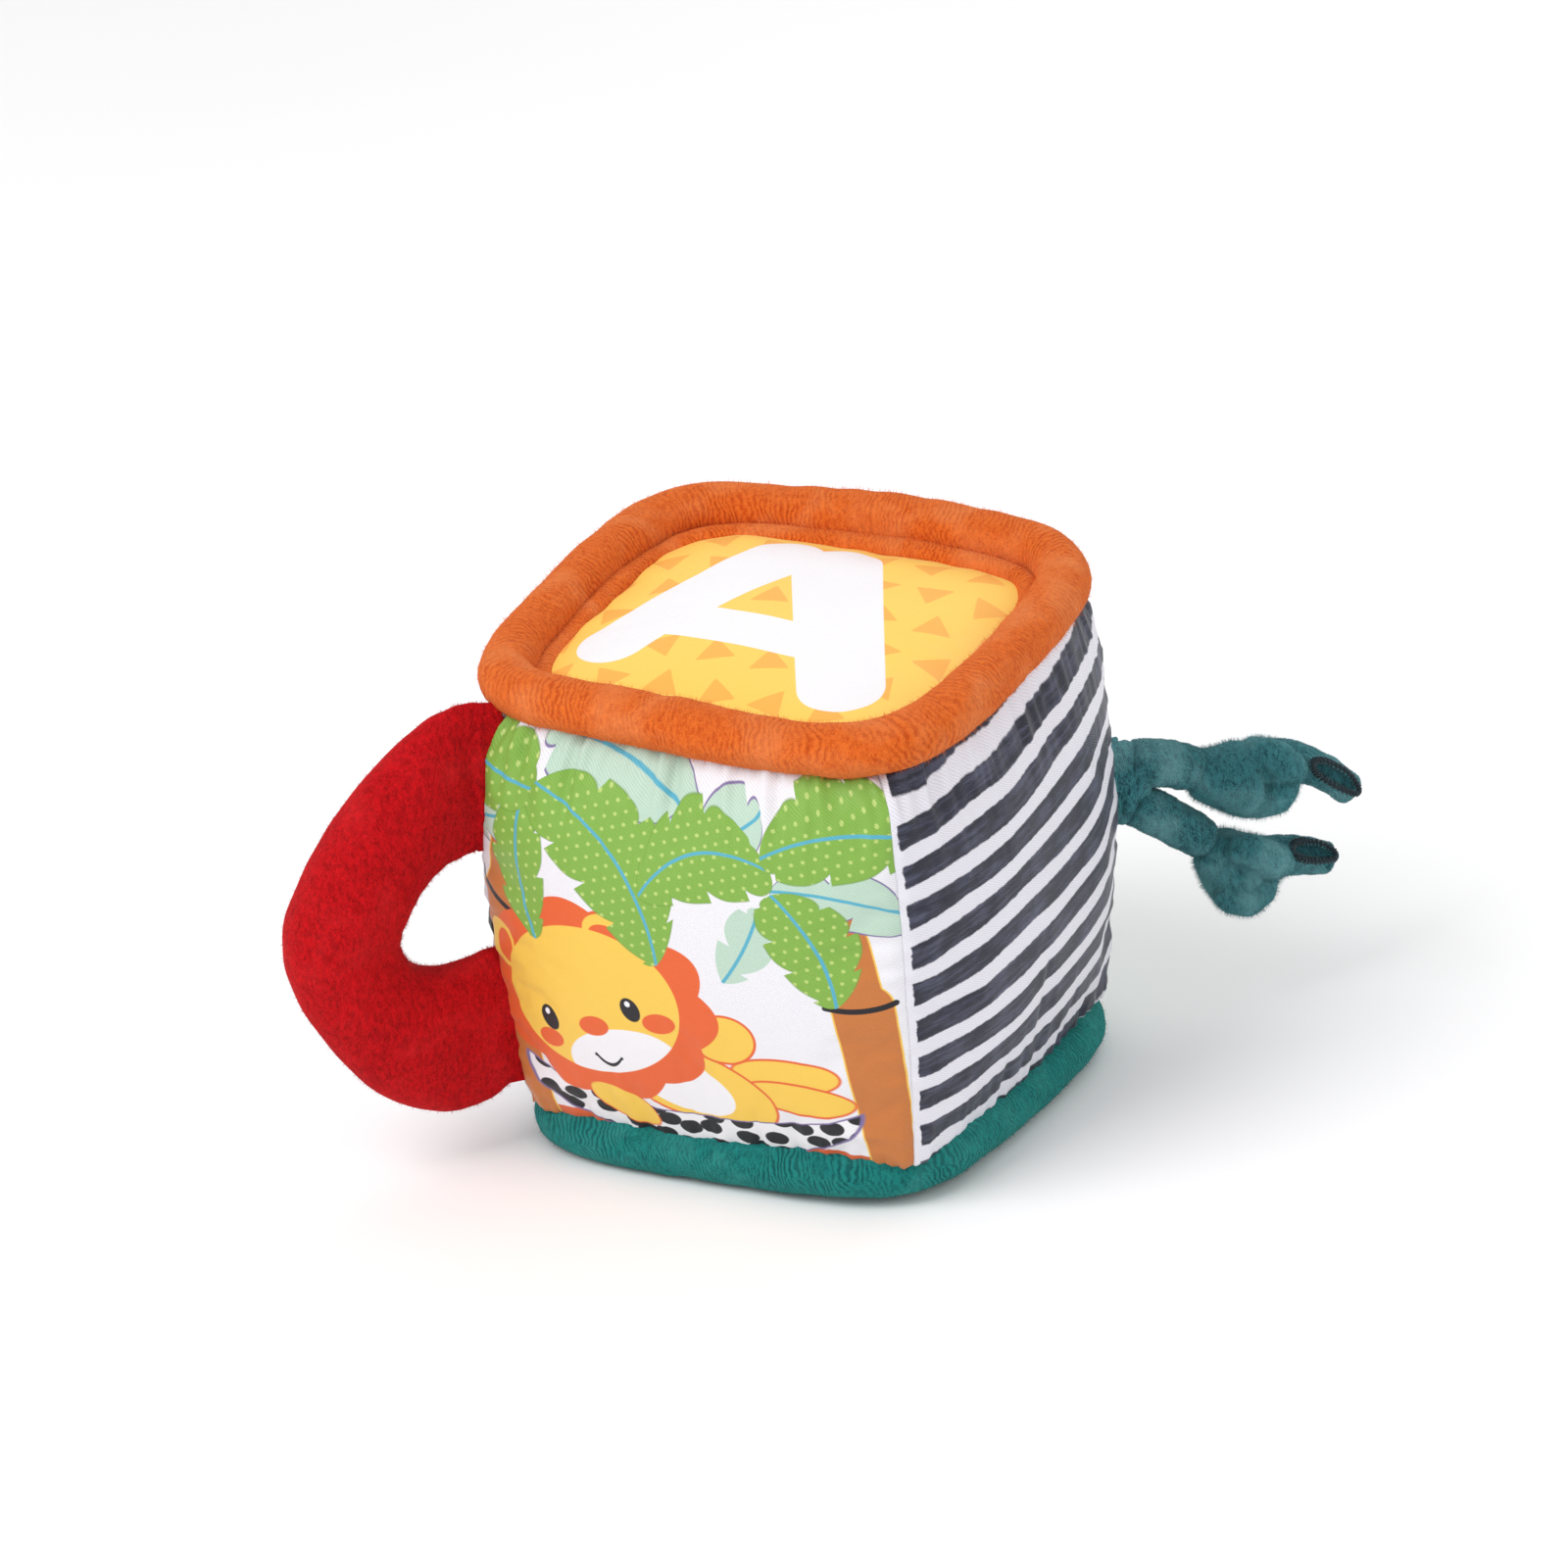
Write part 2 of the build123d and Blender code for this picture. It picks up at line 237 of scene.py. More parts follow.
def clothOn(tree):
    # the cloth's own coordinates, in mm
    return addNode(tree, "UVMap", uv_map="cloth").outputs[0]


def rgb(red, green, blue):
    # the screen's 0 to 255 values turned into light values
    return tuple((c / 255 / 12.92) if c < 10 else ((c / 255 + 0.055) / 1.055) ** 2.4 for c in (red, green, blue)) + (1.0,)


socketKinds = {float: "NodeSocketFloat", tuple: "NodeSocketVector", list: "NodeSocketColor"}


def newGroup(name, inputs, outputs):
    # inputs: name to default, where a tuple is a vector and a list is a colour; outputs: name to a sample
    group = bpy.data.node_groups.new(name, "ShaderNodeTree")
    for label, value in inputs.items():
        socket = group.interface.new_socket(name=label, in_out="INPUT", socket_type=socketKinds[type(value)])
        socket.default_value = value
    for label, value in outputs.items():
        group.interface.new_socket(name=label, in_out="OUTPUT", socket_type=socketKinds[type(value)])
    return group, group.nodes.new("NodeGroupInput").outputs, group.nodes.new("NodeGroupOutput").inputs


def closeGroup(group, result, values):
    for label, value in values.items():
        group.links.new(value, result[label])
    return group


def useGroup(tree, group, values):
    return addNode(tree, "Group", values, node_tree=group).outputs


def newMaterial(name, sheen=0.0, specular=0.4):
    material = bpy.data.materials.new(name)
    material.use_nodes = True
    tree = material.node_tree
    shader = tree.nodes["Principled BSDF"]
    shader.inputs["Specular IOR Level"].default_value = specular
    shader.inputs["Sheen Weight"].default_value = sheen
    shader.inputs["Sheen Roughness"].default_value = 0.45
    return material, tree


# node group: satin cloth, fine slanting ribs with a soft shine
def buildSatinWeave():
    group, given, result = newGroup(
        "satin weave",
        {"Cloth": (0.0, 0.0, 0.0), "Colour": [0.8, 0.8, 0.8, 1.0], "Rib pitch": 0.62, "Shade": 0.07},
        {"Colour": [0.0] * 4, "Roughness": 0.0, "Height": 0.0},
    )
    split = splitUp(group, given["Cloth"])
    slant = calc(group, "ADD", calc(group, "MULTIPLY", split[0], 0.62), split[1])
    drift = noiseOn(group, given["Cloth"], 0.22)
    slant = calc(group, "ADD", slant, calc(group, "MULTIPLY", drift, 1.4))
    turns = calc(group, "DIVIDE", slant, given["Rib pitch"])
    rib = calc(group, "SINE", calc(group, "MULTIPLY", turns, math.tau))
    rib = calc(group, "MULTIPLY_ADD", rib, 0.5, 0.5)
    thread = noiseOn(group, given["Cloth"], 3.2, detail=3.0)
    height = calc(group, "MULTIPLY_ADD", thread, 0.8, rib)
    # painted shade: the colour darkens where the ribs and threads sit low
    dim = calc(group, "MULTIPLY", calc(group, "SUBTRACT", 1.4, height), given["Shade"])
    colour = mixColour(group, dim, given["Colour"], (0.12, 0.10, 0.14, 1.0), "MULTIPLY")
    patch = noiseOn(group, given["Cloth"], 0.05, detail=3.0)
    rough = calc(group, "MULTIPLY_ADD", patch, 0.22, 0.36)
    return closeGroup(group, result, {"Colour": colour, "Roughness": rough, "Height": height})


# node group: short plush pile, tufts that part and lean
def buildPlushPile():
    group, given, result = newGroup(
        "plush pile",
        {"Colour": [0.8, 0.1, 0.1, 1.0], "Gap shade colour": [0.3, 0.02, 0.02, 1.0], "Sheen tip colour": [1.0, 0.3, 0.2, 1.0], "Nap": 0.35,
         "Cloth": (0.0, 0.0, 0.0), "Rib pitch": 1.3, "Ribs": 0.0},
        {"Colour": [0.0] * 4, "Roughness": 0.0, "Height": 0.0},
    )
    place = objectPlace(group)
    combed = addNode(group, "Mapping", {"Vector": place, "Scale": (1.0, 1.0, 0.45), "Rotation": (0.3, 0.2, 0.0)}).outputs[0]
    tuft = noiseOn(group, combed, 950.0, detail=4.0, roughness=0.65)
    fibre = noiseOn(group, combed, 3800.0)
    brushed = noiseOn(group, place, 75.0, detail=3.0, distortion=0.6)
    height = calc(group, "MULTIPLY_ADD", fibre, 0.55, tuft)
    # knitted ribs run across a tube, showing only in patches
    along = splitUp(group, given["Cloth"])
    sway = noiseOn(group, given["Cloth"], 0.13)
    slanted = calc(group, "MULTIPLY_ADD", along[1], 0.22, calc(group, "MULTIPLY_ADD", sway, 7.0, along[0]))
    rib = calc(group, "SINE", calc(group, "DIVIDE", calc(group, "MULTIPLY", slanted, math.tau), given["Rib pitch"]))
    patch = noiseOn(group, given["Cloth"], 0.07)
    shown = ramp(group, patch, 0.38, 0.62)
    rib = calc(group, "MULTIPLY", calc(group, "MULTIPLY", rib, given["Ribs"]), shown)
    height = calc(group, "ADD", height, rib)
    # painted shade: where the pile sits low, between tufts and in the rib hollows, it takes the darker gap colour
    gap = ramp(group, height, 0.56, 0.90)
    colour = mixColour(group, gap, given["Gap shade colour"], given["Colour"])
    # painted sheen: the lighter tip colour where the pile is brushed over
    lean = ramp(group, brushed, 0.45, 0.75)
    colour = mixColour(group, calc(group, "MULTIPLY", lean, given["Nap"]), colour, given["Sheen tip colour"])
    rough = calc(group, "MULTIPLY_ADD", brushed, 0.15, 0.8)
    return closeGroup(group, result, {"Colour": colour, "Roughness": rough, "Height": height})


# node groups: the shapes that the prints are drawn with, in mm on the cloth
def turnedCloth(group, cloth, place, angle):
    # cloth coordinates moved to a place and turned through an angle in degrees
    moved = addNode(group, "VectorMath", {0: cloth, 1: place}, operation="SUBTRACT").outputs[0]
    radians = calc(group, "RADIANS", calc(group, "MULTIPLY", angle, -1.0))
    turned = addNode(group, "VectorRotate", {"Vector": moved, "Angle": radians}, rotation_type="Z_AXIS").outputs[0]
    return splitUp(group, turned)


def spread(group, x, y):
    return calc(group, "SQRT", calc(group, "MULTIPLY_ADD", x, x, calc(group, "MULTIPLY", y, y)))


def unbend(group, y, share, bend):
    # y measured from a middle line that arches by bend
    arch = calc(group, "MULTIPLY", calc(group, "MULTIPLY", share, calc(group, "SUBTRACT", 1.0, share)), 4.0)
    return calc(group, "SUBTRACT", y, calc(group, "MULTIPLY", arch, bend))


def edgeMask(group, distance, edge=0.12):
    # one inside a shape, where its distance is under zero
    return ramp(group, distance, edge, -edge)


def buildPrintOval():
    group, given, result = newGroup(
        "print oval",
        {"Cloth": (0.0, 0.0, 0.0), "Centre": (0.0, 0.0, 0.0), "Half width": 5.0, "Half height": 5.0,
         "Angle": 0.0, "Lobes": 0.0, "Lobe height": 0.0},
        {"Mask": 0.0, "Distance": 0.0},
    )
    x, y, _ = turnedCloth(group, given["Cloth"], given["Centre"], given["Angle"])
    x = calc(group, "DIVIDE", x, given["Half width"])
    y = calc(group, "DIVIDE", y, given["Half height"])
    reach = spread(group, x, y)
    turn = calc(group, "ARCTAN2", y, x)
    wave = calc(group, "ABSOLUTE", calc(group, "SINE", calc(group, "MULTIPLY", turn, given["Lobes"])))
    limit = calc(group, "MULTIPLY_ADD", wave, given["Lobe height"], 1.0)
    small = calc(group, "MINIMUM", given["Half width"], given["Half height"])
    distance = calc(group, "MULTIPLY", calc(group, "SUBTRACT", reach, limit), small)
    return closeGroup(group, result, {"Mask": edgeMask(group, distance), "Distance": distance})


def buildPrintLine():
    group, given, result = newGroup(
        "print line",
        {"Cloth": (0.0, 0.0, 0.0), "Start": (0.0, 0.0, 0.0), "Angle": 0.0, "Length": 10.0,
         "Start radius": 1.0, "End radius": 1.0, "Bend": 0.0},
        {"Mask": 0.0, "Distance": 0.0, "Along": 0.0},
    )
    x, y, _ = turnedCloth(group, given["Cloth"], given["Start"], given["Angle"])
    share = calc(group, "DIVIDE", x, given["Length"], clamp=True)
    y = unbend(group, y, share, given["Bend"])
    beyond = calc(group, "SUBTRACT", x, calc(group, "MULTIPLY", share, given["Length"]))
    away = spread(group, beyond, y)
    radius = addNode(group, "MapRange", {0: share, 3: given["Start radius"], 4: given["End radius"]}).outputs[0]
    distance = calc(group, "SUBTRACT", away, radius)
    return closeGroup(group, result, {"Mask": edgeMask(group, distance), "Distance": distance, "Along": share})


def buildPrintLeaf():
    # a long leaf with torn edges: a body, a line round it, and a rib along its middle
    group, given, result = newGroup(
        "print leaf",
        {"Cloth": (0.0, 0.0, 0.0), "Base": (0.0, 0.0, 0.0), "Angle": 0.0, "Length": 40.0, "Half width": 9.0,
         "Bend": 5.0, "Tears": 6.0, "Tear depth": 0.25},
        {"Mask": 0.0, "Outline": 0.0, "Rib": 0.0},
    )
    x, y, _ = turnedCloth(group, given["Cloth"], given["Base"], given["Angle"])
    share = calc(group, "DIVIDE", x, given["Length"], clamp=True)
    y = unbend(group, y, share, given["Bend"])
    swell = calc(group, "POWER", calc(group, "SINE", calc(group, "MULTIPLY", calc(group, "POWER", share, 0.8), math.pi)), 0.55)
    side = calc(group, "SIGN", y)
    tear = calc(group, "FRACT", calc(group, "MULTIPLY_ADD", share, given["Tears"], calc(group, "MULTIPLY", side, 0.23)))
    tear = calc(group, "POWER", tear, 4.0)
    cut = calc(group, "SUBTRACT", 1.0, calc(group, "MULTIPLY", tear, given["Tear depth"]))
    width = calc(group, "MULTIPLY", calc(group, "MULTIPLY", swell, given["Half width"]), cut)
    distance = calc(group, "SUBTRACT", calc(group, "ABSOLUTE", y), width)
    beyond = calc(group, "ABSOLUTE", calc(group, "SUBTRACT", x, calc(group, "MULTIPLY", share, given["Length"])))
    ends = calc(group, "MULTIPLY_ADD", beyond, 40.0, -4.0)
    distance = calc(group, "MAXIMUM", distance, ends)
    ring = calc(group, "SUBTRACT", calc(group, "ABSOLUTE", distance), 0.22)
    rib = calc(group, "SUBTRACT", calc(group, "ABSOLUTE", y), 0.42)
    rib = calc(group, "MAXIMUM", rib, ends)
    masks = {"Mask": distance, "Outline": ring, "Rib": rib}
    return closeGroup(group, result, {label: edgeMask(group, value) for label, value in masks.items()})


def buildPrintDots():
    # rows of small dots, every other row set half a step along
    group, given, result = newGroup(
        "print dots", {"Cloth": (0.0, 0.0, 0.0), "Spacing": 2.9, "Radius": 0.46, "Angle": 20.0}, {"Mask": 0.0}
    )
    x, y, _ = turnedCloth(group, given["Cloth"], (0.0, 0.0, 0.0), given["Angle"])
    row = calc(group, "DIVIDE", y, given["Spacing"])
    shift = calc(group, "MULTIPLY", calc(group, "MODULO", calc(group, "FLOOR", calc(group, "ADD", row, 400.0)), 2.0), 0.5)
    column = calc(group, "ADD", calc(group, "DIVIDE", x, given["Spacing"]), shift)
    dx = calc(group, "SUBTRACT", calc(group, "FRACT", column), 0.5)
    dy = calc(group, "SUBTRACT", calc(group, "FRACT", row), 0.5)
    away = spread(group, dx, dy)
    distance = calc(group, "SUBTRACT", calc(group, "MULTIPLY", away, given["Spacing"]), given["Radius"])
    return closeGroup(group, result, {"Mask": edgeMask(group, distance)})


satinWeave = buildSatinWeave()
plushPile = buildPlushPile()
printOval = buildPrintOval()
printLine = buildPrintLine()
printLeaf = buildPrintLeaf()
printDots = buildPrintDots()


def finishSurface(tree, colour, roughness, height, strength, distance):
    shader = tree.nodes["Principled BSDF"]
    tree.links.new(colour, shader.inputs["Base Color"])
    tree.links.new(roughness, shader.inputs["Roughness"])
    lift = addNode(tree, "Bump", {"Height": height, "Strength": strength, "Distance": distance})
    tree.links.new(lift.outputs[0], shader.inputs["Normal"])


satin = {"shade": 0.17, "bump": 0.25, "sheen": 0.12, "specular": 0.35}


def newSatin(name):
    material, tree = newMaterial(name, sheen=satin["sheen"], specular=satin["specular"])
    return material, tree, clothOn(tree)


def finishSatin(material, cloth, colour):
    tree = material.node_tree
    weave = useGroup(tree, satinWeave, {"Cloth": cloth, "Colour": colour, "Shade": satin["shade"]})
    finishSurface(tree, weave["Colour"], weave["Roughness"], weave["Height"], satin["bump"], 0.0002)
    return material


def plushMaterial(name, colour, gapShade, tip, nap=0.35, sheen=0.55, ribs=0.0, pitch=1.3):
    # the second colour is painted shade for the gaps in the pile, the third a painted sheen where the pile is brushed
    # over
    material, tree = newMaterial(name, sheen=sheen, specular=0.15)
    tree.nodes["Principled BSDF"].inputs["Sheen Tint"].default_value = tip
    pile = useGroup(tree, plushPile, {
        "Colour": colour, "Gap shade colour": gapShade, "Sheen tip colour": tip, "Nap": nap,
        "Cloth": clothOn(tree), "Ribs": ribs, "Rib pitch": pitch,
    })
    finishSurface(tree, pile["Colour"], pile["Roughness"], pile["Height"], 0.9, 0.0007)
    return material


orangePlush = plushMaterial("orange plush", rgb(238, 114, 40), rgb(204, 78, 18), rgb(252, 158, 98), nap=0.45, ribs=0.2, pitch=1.5)
tealPlush = plushMaterial("teal plush", rgb(28, 132, 126), rgb(8, 88, 88), rgb(82, 172, 164), nap=0.35, ribs=0.3, pitch=1.25)
redPlush = plushMaterial("red plush", rgb(208, 12, 22), rgb(150, 2, 8), rgb(236, 48, 52), nap=0.3, sheen=0.3)
darkTealPlush = plushMaterial(
    "dark teal plush", rgb(62, 128, 134), rgb(14, 56, 66), rgb(140, 194, 198), nap=0.5, ribs=0.12, pitch=1.1)
# the cloth seen in the slit, darker than the tail's plush: partly the lining, partly painted shade inside the slit
shadedSlitLining = plushMaterial("slit lining", rgb(40, 92, 98), rgb(10, 40, 48), rgb(70, 124, 128), nap=0.25, sheen=0.2)

# prints: each paints one more shape over the colour so far
def ovalOn(tree, cloth, centre, halfWidth, halfHeight, angle=0.0, lobes=0.0, lobeHeight=0.0):
    return useGroup(tree, printOval, {
        "Cloth": cloth, "Centre": (*centre, 0.0), "Half width": halfWidth, "Half height": halfHeight,
        "Angle": angle, "Lobes": lobes, "Lobe height": lobeHeight,
    })


def paintOval(tree, cloth, base, colour, *shape):
    return mixColour(tree, ovalOn(tree, cloth, *shape)["Mask"], base, colour)


def paintLine(tree, cloth, base, colour, start, end, startRadius, endRadius, bend=0.0):
    way = Vector(end) - Vector(start)
    line = useGroup(tree, printLine, {
        "Cloth": cloth, "Start": (*start, 0.0), "Angle": math.degrees(math.atan2(way.y, way.x)), "Length": way.length,
        "Start radius": startRadius, "End radius": endRadius, "Bend": bend,
    })
    return mixColour(tree, line["Mask"], base, colour)


pictureColours = {
    "sky": rgb(238, 237, 242),
    "green": rgb(132, 178, 72),
    "greenDot": rgb(188, 212, 120),
    "greenShade": rgb(104, 146, 54),
    "mint": rgb(190, 216, 198),
    "rib": rgb(88, 176, 200),
    "line": rgb(128, 112, 160),
    "trunk": rgb(201, 120, 58),
    "trunkEdge": rgb(246, 200, 84),
    "ink": rgb(28, 26, 32),
    "ground": rgb(222, 100, 54),
    "mane": rgb(232, 100, 46),
    "fur": rgb(248, 204, 84),
    "white": rgb(244, 243, 247),
}
# each leaf: kind, base, tip, half width, bend, tears; mm on the cloth
pictureLeaves = (
    ("mint", (17, 99), (62, 88), 10.5, 3, 2.6),
    ("mint", (76, 92), (48, 82), 9.0, 3, 2.2),
    ("mint", (19, 86), (-4, 78), 8.5, 3, 2.4),
    ("mint", (78, 74), (116, 62), 8.0, 4, 2.6),
    ("pale", (75, 69), (65, 48), 6.5, 1, 2.2),
    ("green", (14, 86), (17, 50), 7.8, -2, 3.3),
    ("green", (18, 88), (-7, 96), 9.5, 2, 2.6),
    ("green", (18, 90), (49, 50), 14.0, 8.5, 4.4),
    ("green", (78, 79), (46, 68), 12.5, -7.5, 3.6),
    ("green", (76, 82), (116, 86), 11.5, 5.0, 3.2),
    ("green", (78, 73), (91, 44), 10.5, 3, 3.6),
)


def paintLeaves(tree, cloth, colour, leaves):
    c = pictureColours
    dots = useGroup(tree, printDots, {"Cloth": cloth})["Mask"]
    dotted = mixColour(tree, dots, c["green"], c["greenDot"])
    for kind, root, tip, halfWidth, bend, tears in leaves:
        way = Vector(tip) - Vector(root)
        leaf = useGroup(tree, printLeaf, {
            "Cloth": cloth, "Base": (*root, 0.0), "Angle": math.degrees(math.atan2(way.y, way.x)), "Length": way.length,
            "Half width": halfWidth, "Bend": bend, "Tears": tears, "Tear depth": 0.26 if kind == "green" else 0.5,
        })
        colour = mixColour(tree, leaf["Mask"], colour, dotted if kind == "green" else c["mint"])
        if kind == "mint":
            colour = mixColour(tree, leaf["Outline"], colour, c["line"])
        if kind == "green":
            colour = mixColour(tree, calc(tree, "MULTIPLY", leaf["Outline"], 0.45), colour, c["greenShade"])
        colour = mixColour(tree, leaf["Rib"], colour, c["rib"])
    return colour


# trunks: start, end and the radius at each; ovals: colour, centre, half width, half height, angle
picture = {
    "trunks": (((101.5, -5), (96.5, 44), 5.2, 6.6), ((96.2, 44.5), (93.5, 73), 5.2, 3.2),
               ((4.5, -3), (3.8, 54), 5.6, 6.6), ((6.3, 55), (9.0, 72), 5.2, 3.6)),
    "rings": (((88.5, 43.8), (103.5, 45.2), -1.4), ((0, 63), (12.5, 54), -1.6)),
    "limbs": (((77.0, 22.5), 13.0, 4.6, 3), ((79.5, 16.0), 13.5, 4.3, -3),
              ((53.0, 15.0), 21.0, 10.6, -17), ((63.0, 31.0), 7.8, 6.6, 24)),
    "belly": ((50.5, 14.5), 13.0, 7.6, -20),
    "bowl": ((50.0, 12.0), 44.5, 17.0),
    "bowlMouth": ((52.0, 30.0), 60.0, 24.5),
    "head": (
        ("mane", (30.5, 35.5), 29.0, 25.4, 15, 5.0, 0.12),
        ("fur", (5.2, 44.5), 3.8, 6.6, 12), ("mane", (6.2, 43.8), 2.3, 4.6, 12),
        ("fur", (37.5, 56.2), 6.6, 5.0, -12), ("mane", (37.0, 55.2), 4.6, 3.2, -12),
        ("fur", (29.5, 35.8), 23.8, 20.4, 15),
        ("mane", (32.6, 5.6), 9.6, 4.7, -30), ("fur", (32.6, 5.6), 9.2, 4.3, -30),
    ),
    "face": ((29.5, 35.8), 23.8, 20.4, 15),
    "muzzle": ((36.0, 20.4), 15.0, 8.6, 15),
    "cheeks": (((16.6, 22.2), 3.6, 2.7, 10), ((47.4, 33.0), 4.3, 2.9, 12), ((30.0, 29.0), 4.0, 2.8, 14)),
    "eyes": ((17.6, 28.2), (40.6, 35.8)),
    "mouth": ((29.0, 20.4), (35.4, 20.4), 0.6, 0.5, -2.5),
}


def buildPictureMaterial():
    material, tree, cloth = newSatin("printed jungle satin")
    c = pictureColours
    colour = paintOval(tree, cloth, c["sky"], c["ground"], (52, -7), 62, 9.0)
    for shade, extra in (("trunkEdge", 0.4), ("trunk", 0.0)):
        for start, end, low, high in picture["trunks"]:
            colour = paintLine(tree, cloth, colour, c[shade], start, end, low + extra, high + extra)
    for start, end, bend in picture["rings"]:
        colour = paintLine(tree, cloth, colour, c["ink"], start, end, 0.75, 0.75, bend)
    # lion: body, legs and the far hand, then the hammock, then the head and arm over it
    for centre, halfWidth, halfHeight, angle in picture["limbs"]:
        colour = paintOval(tree, cloth, colour, c["mane"], centre, halfWidth + 0.7, halfHeight + 0.7, angle)
        colour = paintOval(tree, cloth, colour, c["fur"], centre, halfWidth, halfHeight, angle)
    colour = paintOval(tree, cloth, colour, c["white"], *picture["belly"])
    # hammock: a spotted bowl slung between two trunks, over the lion's body
    bowl = ovalOn(tree, cloth, *picture["bowl"])["Distance"]
    mouth = ovalOn(tree, cloth, *picture["bowlMouth"])["Distance"]
    band = calc(tree, "MAXIMUM", bowl, calc(tree, "MULTIPLY", mouth, -1.0))
    stretched = addNode(tree, "Mapping", {"Vector": cloth, "Scale": (0.78, 1.1, 1.0)}).outputs[0]
    cells = addNode(tree, "TexVoronoi", {"Vector": stretched, "Scale": 0.165, "Randomness": 0.7}, voronoi_dimensions="2D")
    spotted = mixColour(tree, ramp(tree, cells.outputs["Distance"], 0.41, 0.37), c["white"], c["ink"])
    colour = mixColour(tree, edgeMask(tree, band), colour, spotted)
    rim = calc(tree, "SUBTRACT", calc(tree, "ABSOLUTE", band), 0.2)
    colour = mixColour(tree, edgeMask(tree, rim), colour, c["line"])
    for shade, *shape in picture["head"]:
        colour = paintOval(tree, cloth, colour, c[shade], *shape)
    face = ovalOn(tree, cloth, *picture["face"])["Distance"]
    muzzle = ovalOn(tree, cloth, *picture["muzzle"])["Distance"]
    colour = mixColour(tree, edgeMask(tree, calc(tree, "MAXIMUM", face, muzzle)), colour, c["white"])
    for shape in picture["cheeks"]:
        colour = paintOval(tree, cloth, colour, c["mane"], *shape)
    for x, y in picture["eyes"]:
        colour = paintOval(tree, cloth, colour, c["ink"], (x, y), 2.4, 3.4, 14)
        colour = paintOval(tree, cloth, colour, c["white"], (x - 0.5, y + 1.6), 0.7, 0.8)
    colour = paintLine(tree, cloth, colour, c["ink"], *picture["mouth"])
    colour = paintLeaves(tree, cloth, colour, pictureLeaves)     # leaves hang over everything
    return finishSatin(material, cloth, colour)


stripes = {
    "pitch": 10.3,          # mm on the cloth, as sway, rag, droop and wide are
    "thick": 0.225,         # half a stroke, as a share of the pitch
    "thickDrift": 0.14,
    "sway": 5.0,
    "rag": 0.7,
    "droop": 9.0,           # how far a stroke has come down at its far end
    "wide": 112.0,
    "light": rgb(96, 98, 124),
    "ink": rgb(36, 38, 52),
    "ground": rgb(236, 234, 242),
}


def buildStripeMaterial():
    # loaded-brush stripes: ragged edges, streaks along the stroke, lighter pools
    material, tree, cloth = newSatin("brushed stripe satin")
    split = splitUp(tree, cloth)
    wander = noiseOn(tree, cloth, 0.03, detail=1.0)
    rag = noiseOn(tree, cloth, 0.55, detail=4.0)
    across = calc(tree, "DIVIDE", split[0], stripes["wide"], clamp=True)
    droop = calc(tree, "MULTIPLY", calc(tree, "POWER", across, 2.0), -stripes["droop"])
    sway = calc(tree, "MULTIPLY_ADD", wander, stripes["sway"], -stripes["sway"] / 2)
    level = calc(tree, "ADD", calc(tree, "ADD", split[1], droop), sway)
    level = calc(tree, "ADD", level, calc(tree, "MULTIPLY_ADD", rag, stripes["rag"], -stripes["rag"] / 2))
    turn = calc(tree, "FRACT", calc(tree, "DIVIDE", level, stripes["pitch"]))
    centre = calc(tree, "ABSOLUTE", calc(tree, "SUBTRACT", turn, 0.5))
    wide = calc(tree, "MULTIPLY_ADD", wander, stripes["thickDrift"], stripes["thick"])
    start = ramp(tree, calc(tree, "MULTIPLY_ADD", rag, 1.2, split[0]), 2.3, 2.6)
    mask = calc(tree, "MULTIPLY", ramp(tree, calc(tree, "SUBTRACT", centre, wide), 0.02, -0.02), start)
    stroke = joinUp(tree, calc(tree, "MULTIPLY", split[0], 0.10), level)
    streak = noiseOn(tree, stroke, 0.8, detail=4.0, roughness=0.7)
    pool = noiseOn(tree, cloth, 0.12, detail=3.0)
    light = ramp(tree, calc(tree, "MULTIPLY_ADD", pool, 0.5, streak), 0.70, 1.08)
    ink = mixColour(tree, light, stripes["ink"], stripes["light"])
    return finishSatin(material, cloth, mixColour(tree, mask, stripes["ground"], ink))


spots = {"ground": rgb(238, 237, 242), "ink": rgb(30, 28, 34), "scale": 0.085, "uneven": 0.85, "size": 0.36, "sway": 3.0}


def buildSpotMaterial():
    material, tree, cloth = newSatin("spotted satin")
    bend = addNode(tree, "TexNoise", {"Vector": cloth, "Scale": 0.16, "Detail": 1.0}).outputs["Color"]
    sway = {0: bend, 1: (spots["sway"], spots["sway"], 0.0), 2: cloth}
    swayed = addNode(tree, "VectorMath", sway, operation="MULTIPLY_ADD").outputs[0]
    cells = {"Vector": swayed, "Scale": spots["scale"], "Randomness": spots["uneven"]}
    cells = addNode(tree, "TexVoronoi", cells).outputs["Distance"]
    mask = ramp(tree, cells, spots["size"] + 0.01, spots["size"] - 0.01)
    return finishSatin(material, cloth, mixColour(tree, mask, spots["ground"], spots["ink"]))


# the far side: big leaves on white, from the same print
backLeaves = (
    ("mint", (10, 100), (60, 62), 11, 6, 6), ("mint", (100, 100), (66, 40), 11, -6, 6), ("green", (56, 104), (20, 34), 12, 6, 9),
    ("green", (60, 104), (96, 30), 12, 6, 9), ("mint", (6, 6), (50, 34), 9, -5, 5), ("green", (112, 2), (62, 26), 11, 5, 8),
    ("green", (0, -2), (34, 30), 9, 4, 6),
)


def buildLeafMaterial():
    material, tree, cloth = newSatin("leafy satin")
    return finishSatin(material, cloth, paintLeaves(tree, cloth, pictureColours["sky"], backLeaves))


# start, end and the radius at each, in mm from the middle of the top
letterStrokes = (
    ((-34.0, -21.0), (-15.0, 28.5), 9.0, 9.6),
    ((26.8, -24.0), (-0.5, 27.5), 10.2, 10.8),
    ((-22.0, -9.5), (13.0, -10.0), 7.4, 7.4),
)


